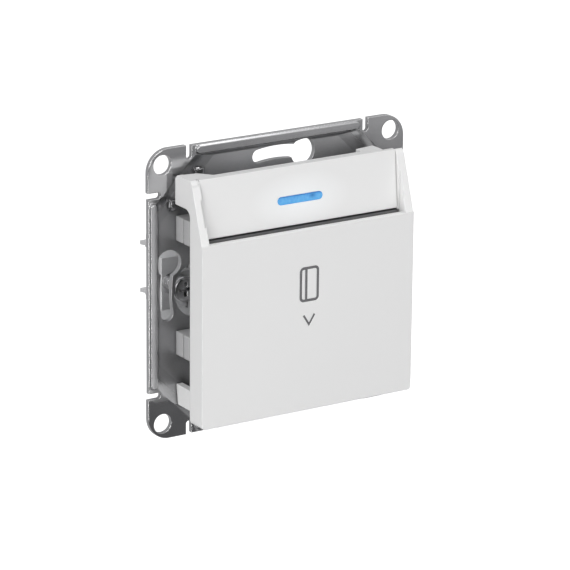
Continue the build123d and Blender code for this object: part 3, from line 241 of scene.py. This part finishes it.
def finish(name, dark, light, edge, rough, metal, grain, depth, width=0.0003, cloud=60, crease_shade=0.6):
    """A finish that drifts between two tones, with a painted highlight on its edges, painted shade
    in its creases and fine relief.
    """
    material = bpy.data.materials.new(name)
    material.use_nodes = True
    tree = material.node_tree
    shader = tree.nodes["Principled BSDF"]
    edges = tree.nodes.new("ShaderNodeGroup")
    edges.node_tree = painted_edge_highlight_and_crease_shade
    edges.inputs["Width"].default_value = width
    relief = tree.nodes.new("ShaderNodeGroup")
    relief.node_tree = surface_grain
    relief.inputs["Scale"].default_value = grain
    relief.inputs["Cloud Size"].default_value = cloud
    tones = tree.nodes.new("ShaderNodeValToRGB")
    set_stops(tones.color_ramp, (0.3, dark), (0.7, light))
    # Painted highlight: the edge mask mixes a lighter colour into the tone along the edges.
    edge_highlight_mix = tree.nodes.new("ShaderNodeMixRGB")
    edge_highlight_mix.inputs["Color2"].default_value = (*edge, 1)
    # Painted shade: the crease mask mixes a darker tone into creases and corners.
    dim = tree.nodes.new("ShaderNodeMixRGB")
    dim.inputs["Color2"].default_value = (*[tone * crease_shade for tone in dark], 1)
    gloss = tree.nodes.new("ShaderNodeMapRange")
    gloss.inputs["To Min"].default_value = rough[0]
    gloss.inputs["To Max"].default_value = rough[1]
    bump = tree.nodes.new("ShaderNodeBump")
    bump.inputs["Distance"].default_value = depth
    bump.inputs["Strength"].default_value = relief_strength
    tree.links.new(relief.outputs["Cloud"], tones.inputs["Fac"])
    tree.links.new(tones.outputs["Color"], edge_highlight_mix.inputs["Color1"])
    tree.links.new(edges.outputs["Mask"], edge_highlight_mix.inputs["Fac"])
    tree.links.new(edge_highlight_mix.outputs["Color"], dim.inputs["Color1"])
    tree.links.new(edges.outputs["Crease Shade"], dim.inputs["Fac"])
    tree.links.new(dim.outputs["Color"], shader.inputs["Base Color"])
    tree.links.new(relief.outputs["Height"], gloss.inputs["Value"])
    tree.links.new(gloss.outputs["Result"], shader.inputs["Roughness"])
    tree.links.new(relief.outputs["Height"], bump.inputs["Height"])
    tree.links.new(edges.outputs["Normal"], bump.inputs["Normal"])
    tree.links.new(bump.outputs["Normal"], shader.inputs["Normal"])
    shader.inputs["Metallic"].default_value = metal
    return material


def dress(material, *names):
    """Puts a finish on all the slots of these CAD pieces."""
    for name in names:
        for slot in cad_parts[name].material_slots:
            slot.material = material


plate_steel = finish(
    "galvanised_sheet", dark=(0.54, 0.54, 0.55), light=(0.68, 0.68, 0.69),
    edge=(0.88, 0.88, 0.88), rough=(0.1, 0.2), metal=1.0, grain=(90, 90, 1400),
    depth=0.000004, width=0.00028, cloud=70, crease_shade=0.15,
)
sheet_tree = plate_steel.node_tree
sheet_shader = sheet_tree.nodes["Principled BSDF"]
ear_level, tray_level = -0.00105, -0.0006
tray_dulling = 0.3
hollow_reach = 0.012
open_hollow, shut_hollow = 0.75, 0.25
polish = sheet_shader.inputs["Roughness"].links[0].from_socket
sheet_place = sheet_tree.nodes.new("ShaderNodeTexCoord")
sheet_level = sheet_tree.nodes.new("ShaderNodeSeparateXYZ")
drawn = sheet_tree.nodes.new("ShaderNodeMapRange")
drawn.inputs["From Min"].default_value = ear_level
drawn.inputs["From Max"].default_value = tray_level
drawn.inputs["To Max"].default_value = tray_dulling
dulled = sheet_tree.nodes.new("ShaderNodeMath")
sheet_tree.links.new(sheet_place.outputs["Object"], sheet_level.inputs["Vector"])
sheet_tree.links.new(sheet_level.outputs["Y"], drawn.inputs["Value"])
sheet_tree.links.new(drawn.outputs["Result"], dulled.inputs[0])
sheet_tree.links.new(polish, dulled.inputs[1])
sheet_tree.links.new(dulled.outputs["Value"], sheet_shader.inputs["Roughness"])
sheet_tone = sheet_shader.inputs["Base Color"].links[0].from_socket
# Painted shade: ambient occlusion within 12 mm darkens the tray where the cover and the posts shut
# it in.
sheet_hollow = sheet_tree.nodes.new("ShaderNodeAmbientOcclusion")
sheet_hollow.samples = 8
sheet_hollow.inputs["Distance"].default_value = hollow_reach
hollow_level = sheet_tree.nodes.new("ShaderNodeMapRange")
hollow_level.inputs["From Min"].default_value = open_hollow
hollow_level.inputs["From Max"].default_value = shut_hollow
painted_hollow_shade = sheet_tree.nodes.new("ShaderNodeMixRGB")
painted_hollow_shade.inputs["Color2"].default_value = (0.24, 0.24, 0.245, 1)
sheet_tree.links.new(sheet_hollow.outputs["AO"], hollow_level.inputs["Value"])
sheet_tree.links.new(hollow_level.outputs["Result"], painted_hollow_shade.inputs["Fac"])
sheet_tree.links.new(sheet_tone, painted_hollow_shade.inputs["Color1"])
sheet_tree.links.new(painted_hollow_shade.outputs["Color"], sheet_shader.inputs["Base Color"])
dress(plate_steel, "mounting_plate")

# Claws, barrel nuts and cages: claws and cages are bent from 1.0 mm steel strip.
# The nuts are turned from bar. All are bright zinc plated, and the strip's sheared edges carry a
# painted highlight.
strip_steel = finish(
    "bright_zinc_strip", dark=(0.84, 0.84, 0.85), light=(0.92, 0.92, 0.93),
    edge=(1.0, 1.0, 1.0), rough=(0.16, 0.28), metal=0.6, grain=(1600, 160, 160),
    depth=0.000004, width=0.0002, cloud=110, crease_shade=0.95,
)
dress(strip_steel, "claw_left", "claw_right", "claw_nut_left", "claw_nut_right")
dress(strip_steel, "line_cage", "load_cage", "neutral_cage")

# Claw screws: cold-headed steel, with a cross recess and a rolled thread.
# The thread runs from the head to the end of the shank and through the barrel nut.
screw_steel = finish(
    "plated_screw", dark=(0.50, 0.50, 0.51), light=(0.68, 0.68, 0.69),
    edge=(1.0, 1.0, 1.0), rough=(0.06, 0.16), metal=1.0, grain=(500, 500, 500),
    depth=0.00001, width=0.00018, cloud=300, crease_shade=0.15,
)
dress(screw_steel, "claw_screw_left", "claw_screw_right")


def winding_tree(name, material, along):
    """A ridge or wire wound along an axis, with its size, turns, sides and start as inputs."""
    tree = bpy.data.node_groups.new(name, "GeometryNodeTree")
    for label in ("Radius", "Length", "Turns", "Ridge"):
        tree.interface.new_socket(label, in_out="INPUT", socket_type="NodeSocketFloat")
    sides = tree.interface.new_socket("Sides", in_out="INPUT", socket_type="NodeSocketInt")
    sides.default_value = 4
    tree.interface.new_socket("Start", in_out="INPUT", socket_type="NodeSocketVector")
    tree.interface.new_socket("Geometry", in_out="OUTPUT", socket_type="NodeSocketGeometry")
    given = tree.nodes.new("NodeGroupInput")
    spiral = tree.nodes.new("GeometryNodeCurveSpiral")
    spiral.inputs["Resolution"].default_value = 24
    ridge = tree.nodes.new("GeometryNodeCurvePrimitiveCircle")
    winding = tree.nodes.new("GeometryNodeCurveToMesh")
    winding.inputs["Fill Caps"].default_value = True
    lay = tree.nodes.new("GeometryNodeTransform")
    lay.inputs["Rotation"].default_value = along
    whole = tree.nodes.new("GeometryNodeRealizeInstances")
    coat = tree.nodes.new("GeometryNodeSetMaterial")
    coat.inputs["Material"].default_value = material
    made = tree.nodes.new("NodeGroupOutput")
    tree.links.new(given.outputs["Turns"], spiral.inputs["Rotations"])
    tree.links.new(given.outputs["Radius"], spiral.inputs["Start Radius"])
    tree.links.new(given.outputs["Radius"], spiral.inputs["End Radius"])
    tree.links.new(given.outputs["Length"], spiral.inputs["Height"])
    tree.links.new(given.outputs["Ridge"], ridge.inputs["Radius"])
    tree.links.new(given.outputs["Sides"], ridge.inputs["Resolution"])
    tree.links.new(spiral.outputs["Curve"], winding.inputs["Curve"])
    tree.links.new(ridge.outputs["Curve"], winding.inputs["Profile Curve"])
    tree.links.new(winding.outputs["Mesh"], lay.inputs["Geometry"])
    tree.links.new(given.outputs["Start"], lay.inputs["Translation"])
    tree.links.new(lay.outputs["Geometry"], whole.inputs["Geometry"])
    tree.links.new(whole.outputs["Geometry"], coat.inputs["Geometry"])
    tree.links.new(coat.outputs["Geometry"], made.inputs["Geometry"])
    return tree


def grown(name, tree, values, material):
    """The plain mesh that a geometry tree gives for these input values."""
    seed_mesh = bpy.data.meshes.new(name + "_seed")
    seed = bpy.data.objects.new(name + "_seed", seed_mesh)
    scene.collection.objects.link(seed)
    modifier = seed.modifiers.new("made", "NODES")
    modifier.node_group = tree
    for item in tree.interface.items_tree:
        if item.in_out == "INPUT" and item.name in values:
            modifier[item.identifier] = values[item.name]
    evaluated = seed.evaluated_get(bpy.context.evaluated_depsgraph_get())
    mesh = bpy.data.meshes.new_from_object(evaluated)
    bpy.data.objects.remove(seed)
    mesh.name = name
    mesh.materials.clear()
    mesh.materials.append(material)
    piece = bpy.data.objects.new(name, mesh)
    scene.collection.objects.link(piece)
    return piece


claw_screw_x, claw_thread_y = 0.0242, 0.0040
claw_thread = winding_tree("claw_screw_thread", screw_steel, (-math.pi / 2, 0, 0))
for side, name in ((-1, "left"), (1, "right")):
    claw_ridge = {"Radius": 0.00170, "Length": 0.0037, "Turns": 5.0, "Ridge": 0.00022}
    claw_ridge["Start"] = (side * claw_screw_x, claw_thread_y, 0)
    winding = grown(f"claw_thread_{name}", claw_thread, claw_ridge, screw_steel)
    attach(winding, f"claw_screw_{name}")

# Front cover: one thick-walled white moulding with a satin face, and crisp rounded edges with a
# painted highlight.
# The face has the faint, even texture of a spark-eroded mould.
cover_white = finish(
    "satin_white_moulding", dark=(0.875, 0.875, 0.87), light=(0.90, 0.90, 0.895),
    edge=(1.0, 1.0, 1.0), rough=(0.30, 0.40), metal=0.0, grain=(2600, 2600, 2600),
    depth=0.000006, width=0.0003, cloud=14, crease_shade=0.8,
)
dress(cover_white, "front_cover")

# Slanted panel: a white moulding with a painted glow round its window, standing in for light spread
# from the lens.
# The painted glow lies on the panel itself and fades within a few millimetres of the lens.
panel_white = cover_white.copy()
panel_white.name = "lit_white_panel"
panel_tree = panel_white.node_tree
panel_place = panel_tree.nodes.new("ShaderNodeTexCoord")
panel_shift = panel_tree.nodes.new("ShaderNodeMapping")
glow_centre, glow_scale = (0, -0.0108, 0.0213), (72, 90, 150)
panel_shift.inputs["Location"].default_value = [-c * s for c, s in zip(glow_centre, glow_scale)]
panel_shift.inputs["Scale"].default_value = glow_scale
panel_ball = panel_tree.nodes.new("ShaderNodeTexGradient")
panel_ball.gradient_type = "SPHERICAL"
painted_panel_glow = panel_tree.nodes.new("ShaderNodeValToRGB")
set_stops(painted_panel_glow.color_ramp, (0.0, (0, 0, 0)), (0.9, (0.10, 0.11, 0.12)))
panel_tree.links.new(panel_place.outputs["Object"], panel_shift.inputs["Vector"])
panel_tree.links.new(panel_shift.outputs["Vector"], panel_ball.inputs["Vector"])
panel_tree.links.new(panel_ball.outputs["Color"], painted_panel_glow.inputs["Fac"])
panel_shader = panel_tree.nodes["Principled BSDF"]
panel_tree.links.new(painted_panel_glow.outputs["Color"], panel_shader.inputs["Emission Color"])
panel_shader.inputs["Emission Strength"].default_value = 1.0
dress(panel_white, "slot_panel")

# Lens: clear blue moulding, pressed into the panel and lit from behind.
# It is darker along its thick upper edge, and where the light source sits behind it.
# Fine prisms moulded in its back break the light up along its length.
lens_low, lens_high = 0.02025, 0.02235
source_centre, source_scale = (0.0034, -0.0108, 0.0216), (900, 200, 1100)
lens_blue = bpy.data.materials.new("lit_blue_lens")
lens_blue.use_nodes = True
lens_tree = lens_blue.node_tree
lens_shader = lens_tree.nodes["Principled BSDF"]
lens_place = lens_tree.nodes.new("ShaderNodeTexCoord")
lens_split = lens_tree.nodes.new("ShaderNodeSeparateXYZ")
lens_rise = lens_tree.nodes.new("ShaderNodeMapRange")
lens_rise.inputs["From Min"].default_value = lens_low
lens_rise.inputs["From Max"].default_value = lens_high
lens_blues = lens_tree.nodes.new("ShaderNodeValToRGB")
set_stops(
    lens_blues.color_ramp,
    (0.05, (0.10, 0.42, 0.88)),
    (0.45, (0.15, 0.50, 0.92)),
    (0.76, (0.11, 0.42, 0.87)),
    (0.92, (0.03, 0.20, 0.56)),
)
prisms = lens_tree.nodes.new("ShaderNodeTexNoise")
prisms.inputs["Scale"].default_value = 1100
prisms.inputs["Detail"].default_value = 5
lens_shift = lens_tree.nodes.new("ShaderNodeMapping")
lens_shift.inputs["Location"].default_value = [-c * s for c, s in zip(source_centre, source_scale)]
lens_shift.inputs["Scale"].default_value = source_scale
source_ball = lens_tree.nodes.new("ShaderNodeTexGradient")
source_ball.gradient_type = "SPHERICAL"
source_shade = lens_tree.nodes.new("ShaderNodeMixRGB")
source_shade.inputs["Color2"].default_value = (0.03, 0.19, 0.52, 1)
prism_mix = lens_tree.nodes.new("ShaderNodeMixRGB")
prism_mix.blend_type = "SOFT_LIGHT"
prism_mix.inputs["Fac"].default_value = 0.75
lens_tree.links.new(lens_place.outputs["Object"], lens_split.inputs[0])
lens_tree.links.new(lens_split.outputs["Z"], lens_rise.inputs["Value"])
lens_tree.links.new(lens_rise.outputs["Result"], lens_blues.inputs["Fac"])
lens_tree.links.new(lens_place.outputs["Object"], prisms.inputs["Vector"])
lens_tree.links.new(lens_blues.outputs["Color"], prism_mix.inputs["Color1"])
lens_tree.links.new(prisms.outputs["Fac"], prism_mix.inputs["Color2"])
lens_tree.links.new(lens_place.outputs["Object"], lens_shift.inputs["Vector"])
lens_tree.links.new(lens_shift.outputs["Vector"], source_ball.inputs["Vector"])
lens_tree.links.new(source_ball.outputs["Color"], source_shade.inputs["Fac"])
lens_tree.links.new(prism_mix.outputs["Color"], source_shade.inputs["Color1"])
lens_tree.links.new(source_shade.outputs["Color"], lens_shader.inputs["Emission Color"])
lens_shader.inputs["Base Color"].default_value = (0.02, 0.07, 0.14, 1)
lens_shader.inputs["Emission Strength"].default_value = 0.74
lens_shader.inputs["Roughness"].default_value = 0.2
dress(lens_blue, "indicator_lens")

# Symbol: a card, its stripe and an arrow, in grey filling in a pocket of the cover's face.
# The filling is level with the face and slightly uneven, as a wiped-in filling is.
symbol_grey = finish(
    "grey_filling", dark=(0.15, 0.15, 0.155), light=(0.19, 0.19, 0.195),
    edge=(0.22, 0.22, 0.22), rough=(0.45, 0.6), metal=0.0, grain=(1800, 1800, 1800),
    depth=0.00001, width=0.00008, cloud=400,
)
dress(symbol_grey, "pictogram_inlay")

# Chassis: a light grey thermoplastic frame, moulded in one piece with its ribbed side posts.
# Four long screws hold it on the plate, and its texture is coarser than the cover's.
chassis_grey = finish(
    "light_grey_moulding", dark=(0.48, 0.48, 0.485), light=(0.54, 0.54, 0.545),
    edge=(0.60, 0.60, 0.60), rough=(0.36, 0.5), metal=0.0, grain=(1500, 1500, 1500),
    depth=0.00001, width=0.0007, cloud=40, crease_shade=0.9,
)
dress(chassis_grey, "chassis")

# Card guide: the back wall and stop of the card's pocket, a dark grey moulding on the chassis.
# Four small countersunk screws hold it, and the open slot reads as a dark line in front of it.
guide_grey = finish(
    "dark_grey_moulding", dark=(0.12, 0.12, 0.122), light=(0.15, 0.15, 0.152),
    edge=(0.24, 0.24, 0.24), rough=(0.4, 0.52), metal=0.0, grain=(1500, 1500, 1500),
    depth=0.00001, width=0.0002, cloud=50,
)
dress(guide_grey, "card_guide")

# Card lever and plunger: two small mouldings of slippery white acetal, smoother than the housing.
# The lever turns on its steel pin, and the plunger slides in the lid's guide.
acetal_white = finish(
    "white_acetal", dark=(0.76, 0.76, 0.74), light=(0.79, 0.79, 0.77),
    edge=(0.86, 0.86, 0.85), rough=(0.22, 0.34), metal=0.0, grain=(2600, 2600, 2600),
    depth=0.000003, width=0.0003, cloud=60, crease_shade=0.8,
)
dress(acetal_white, "card_lever", "plunger")

# Pins and small screws: turned pins and cold-headed screws, all of plated steel.
# The terminal screws have a rolled thread that runs through the wall of their cage.
dress(screw_steel, "lever_pin", "arm_pin", "guide_screws", "chassis_screws")
dress(screw_steel, "line_screw", "load_screw", "neutral_screw")
terminal_pitch, terminal_y, terminal_low = 0.0104, 0.0173, -0.0190
terminal_thread = winding_tree("terminal_screw_thread", screw_steel, (0, 0, 0))
for step_across, name in ((-1, "line"), (0, "load"), (1, "neutral")):
    terminal_ridge = {"Radius": 0.00170, "Length": 0.0028, "Turns": 4.0, "Ridge": 0.0002}
    terminal_ridge["Start"] = (step_across * terminal_pitch, terminal_y, terminal_low)
    winding = grown(f"terminal_thread_{name}", terminal_thread, terminal_ridge, screw_steel)
    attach(winding, f"{name}_screw")

# Springs: coiled steel wire, finely lined along its length.
# Each coil takes the place of the CAD spring, which is hidden, and rides with the insert.
spring_wire = finish(
    "spring_wire", dark=(0.46, 0.46, 0.47), light=(0.58, 0.58, 0.59),
    edge=(0.75, 0.75, 0.75), rough=(0.18, 0.3), metal=1.0, grain=(3000, 800, 800),
    depth=0.000004, width=0.00005, cloud=500,
)
coiled_wire = winding_tree("coiled_wire", spring_wire, (math.pi / 2, 0, 0))
lever_turns = {"Radius": 0.002, "Length": 0.004098, "Turns": 4.0, "Ridge": 0.000225, "Sides": 14}
lever_turns["Start"] = (0, -0.000626, -0.008)
lever_coil = grown("lever_coil", coiled_wire, lever_turns, spring_wire)
lever_coil.data.shade_smooth()
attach(lever_coil, "insert")
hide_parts("lever_spring")
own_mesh(lever_coil)
arm_turns = {"Radius": 0.0014, "Length": 0.002948, "Turns": 3.0, "Ridge": 0.000175, "Sides": 14}
arm_turns["Start"] = (0, 0.011974, 0.006)
contact_coil = grown("contact_coil", coiled_wire, arm_turns, spring_wire)
contact_coil.data.shade_smooth()
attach(contact_coil, "insert")
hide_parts("contact_spring")
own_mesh(contact_coil)

# Housing and lid: the mechanism's box behind the plate, and the lid on its side to the room.
# Both are grey, heat-resisting, glass-filled mouldings with a matt, slightly flowing surface.
housing_grey = finish(
    "grey_filled_moulding", dark=(0.40, 0.405, 0.41), light=(0.48, 0.485, 0.49),
    edge=(0.60, 0.60, 0.61), rough=(0.48, 0.62), metal=0.0, grain=(1500, 1500, 1500),
    depth=0.000012, width=0.0004, cloud=45, crease_shade=0.7,
)
dress(housing_grey, "base_housing", "housing_lid")

# Terminal strips and contact arm: stamped and bent from brass sheet, a little tarnished.
# The strips are pushed into slots of the housing, and the arm turns on a steel pin.
strip_brass = finish(
    "stamped_brass", dark=(0.62, 0.42, 0.15), light=(0.76, 0.56, 0.24),
    edge=(0.90, 0.74, 0.42), rough=(0.2, 0.36), metal=1.0, grain=(240, 240, 2200),
    depth=0.000003, width=0.0002, cloud=90,
)
dress(strip_brass, "line_strip", "load_strip", "neutral_strip", "contact_arm")

# Contact tips: two small silver rivets, one on the arm and one on the load strip.
# They are headed in place, and a little frosted where they meet.
contact_silver = finish(
    "contact_silver", dark=(0.78, 0.78, 0.76), light=(0.90, 0.90, 0.88),
    edge=(0.96, 0.96, 0.95), rough=(0.2, 0.45), metal=1.0, grain=(2400, 2400, 2400),
    depth=0.000008, width=0.0001, cloud=500,
)
dress(contact_silver, "arm_contact_tip", "fixed_contact_tip")

# Light's board: green solder resist over woven glass, on two posts of the chassis.
# It carries a light source in clear resin, a black diode and a lacquered resistor.
board_green = finish(
    "green_resist", dark=(0.015, 0.13, 0.05), light=(0.03, 0.20, 0.08),
    edge=(0.35, 0.33, 0.18), rough=(0.18, 0.3), metal=0.0, grain=(1500, 1500, 1500),
    depth=0.00001, width=0.0001, cloud=260,
)
dress(board_green, "led_board")
clear_resin = finish(
    "clear_resin", dark=(0.45, 0.62, 0.85), light=(0.60, 0.76, 0.95),
    edge=(0.80, 0.90, 1.0), rough=(0.08, 0.14), metal=0.0, grain=(900, 900, 900),
    depth=0.000004, width=0.0001, cloud=300,
)
dress(clear_resin, "indicator_led")
diode_black = finish(
    "black_resin", dark=(0.02, 0.02, 0.02), light=(0.035, 0.035, 0.035),
    edge=(0.09, 0.09, 0.09), rough=(0.3, 0.42), metal=0.0, grain=(1600, 1600, 1600),
    depth=0.000006, width=0.0001, cloud=300,
)
dress(diode_black, "led_diode")
resistor_tan = finish(
    "lacquered_body", dark=(0.50, 0.36, 0.20), light=(0.60, 0.45, 0.27),
    edge=(0.68, 0.54, 0.36), rough=(0.16, 0.26), metal=0.0, grain=(900, 900, 900),
    depth=0.000008, width=0.0001, cloud=300,
)
dress(resistor_tan, "led_resistor")


# Bands: four brown rings of lacquer on the resistor, and a silver print on the diode's end.
# Each ring lies on its round body, and stands a few hundredths of a millimetre proud.
def ring_tree(name, material):
    """Short collars strung along X on a round body, with their size, pitch and number as inputs."""
    tree = bpy.data.node_groups.new(name, "GeometryNodeTree")
    for label in ("Radius", "Width", "Pitch"):
        tree.interface.new_socket(label, in_out="INPUT", socket_type="NodeSocketFloat")
    tree.interface.new_socket("Number", in_out="INPUT", socket_type="NodeSocketInt")
    tree.interface.new_socket("Start", in_out="INPUT", socket_type="NodeSocketVector")
    tree.interface.new_socket("Geometry", in_out="OUTPUT", socket_type="NodeSocketGeometry")
    given = tree.nodes.new("NodeGroupInput")
    collar = tree.nodes.new("GeometryNodeMeshCylinder")
    collar.inputs["Vertices"].default_value = 40
    lay = tree.nodes.new("GeometryNodeTransform")
    lay.inputs["Rotation"].default_value = (0, math.pi / 2, 0)
    step = tree.nodes.new("ShaderNodeCombineXYZ")
    row = tree.nodes.new("GeometryNodeMeshLine")
    place_row = tree.nodes.new("GeometryNodeInstanceOnPoints")
    whole = tree.nodes.new("GeometryNodeRealizeInstances")
    coat = tree.nodes.new("GeometryNodeSetMaterial")
    coat.inputs["Material"].default_value = material
    made = tree.nodes.new("NodeGroupOutput")
    tree.links.new(given.outputs["Radius"], collar.inputs["Radius"])
    tree.links.new(given.outputs["Width"], collar.inputs["Depth"])
    tree.links.new(collar.outputs["Mesh"], lay.inputs["Geometry"])
    tree.links.new(given.outputs["Pitch"], step.inputs["X"])
    tree.links.new(given.outputs["Number"], row.inputs["Count"])
    tree.links.new(given.outputs["Start"], row.inputs["Start Location"])
    tree.links.new(step.outputs["Vector"], row.inputs["Offset"])
    tree.links.new(row.outputs["Mesh"], place_row.inputs["Points"])
    tree.links.new(lay.outputs["Geometry"], place_row.inputs["Instance"])
    tree.links.new(place_row.outputs["Instances"], whole.inputs["Geometry"])
    tree.links.new(whole.outputs["Geometry"], coat.inputs["Geometry"])
    tree.links.new(coat.outputs["Geometry"], made.inputs["Geometry"])
    return tree


band_brown = finish(
    "brown_band_lacquer", dark=(0.10, 0.035, 0.015), light=(0.15, 0.055, 0.02),
    edge=(0.22, 0.10, 0.05), rough=(0.2, 0.3), metal=0.0, grain=(900, 900, 900),
    depth=0.000004, width=0.00005, cloud=300,
)
brown_rings = {"Radius": 0.00098, "Width": 0.0004, "Pitch": 0.0008, "Number": 4}
brown_rings["Start"] = (0.0044, -0.0073, 0.0189)
bands = grown("resistor_bands", ring_tree("colour_bands", band_brown), brown_rings, band_brown)
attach(bands, "insert")
band_silver = finish(
    "silver_band_print", dark=(0.55, 0.55, 0.55), light=(0.66, 0.66, 0.66),
    edge=(0.75, 0.75, 0.75), rough=(0.3, 0.42), metal=0.0, grain=(900, 900, 900),
    depth=0.000004, width=0.00005, cloud=300,
)
silver_ring = {"Radius": 0.00127, "Width": 0.0008, "Pitch": 0.001, "Number": 1}
silver_ring["Start"] = (-0.0069, -0.00745, 0.0189)
cathode = grown("diode_band", ring_tree("cathode_band", band_silver), silver_ring, band_silver)
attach(cathode, "insert")

# Leads and solder: two stiff tinned copper wires that carry the board from the terminal strips.
# Each ends in the board, in a concave cone of solder.
tinned_copper = finish(
    "tinned_copper", dark=(0.60, 0.58, 0.55), light=(0.74, 0.72, 0.69),
    edge=(0.86, 0.85, 0.83), rough=(0.15, 0.3), metal=1.0, grain=(800, 300, 800),
    depth=0.000006, width=0.0001, cloud=300,
)
dress(tinned_copper, "led_leads")
lead_z = 0.0154
cone_sides = 24
solder_profile = (
    (0.00105, 0.00621), (0.00085, 0.0063), (0.00066, 0.0065), (0.00054, 0.0068), (0.0005, 0.00695),
)
solder_cones = bmesh.new()
for lead_x in (-terminal_pitch, terminal_pitch):
    rings = []
    for radius, stand in solder_profile:
        ring = []
        for k in range(cone_sides):
            angle = k * 2 * math.pi / cone_sides
            rim = (lead_x + radius * math.cos(angle), -stand, lead_z + radius * math.sin(angle))
            ring.append(solder_cones.verts.new(rim))
        rings.append(ring)
    for lower, upper in zip(rings, rings[1:]):
        for k in range(cone_sides):
            solder_cones.faces.new((lower[k], lower[k - 1], upper[k - 1], upper[k]))
    solder_cones.faces.new(rings[0])
    solder_cones.faces.new(rings[-1][::-1])
bmesh.ops.recalc_face_normals(solder_cones, faces=solder_cones.faces)
solder_mesh = bpy.data.meshes.new("lead_solder")
solder_cones.to_mesh(solder_mesh)
solder_cones.free()
solder_mesh.materials.append(tinned_copper)
solder_mesh.shade_smooth()
lead_solder = bpy.data.objects.new("lead_solder", solder_mesh)
scene.collection.objects.link(lead_solder)
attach(lead_solder, "insert")
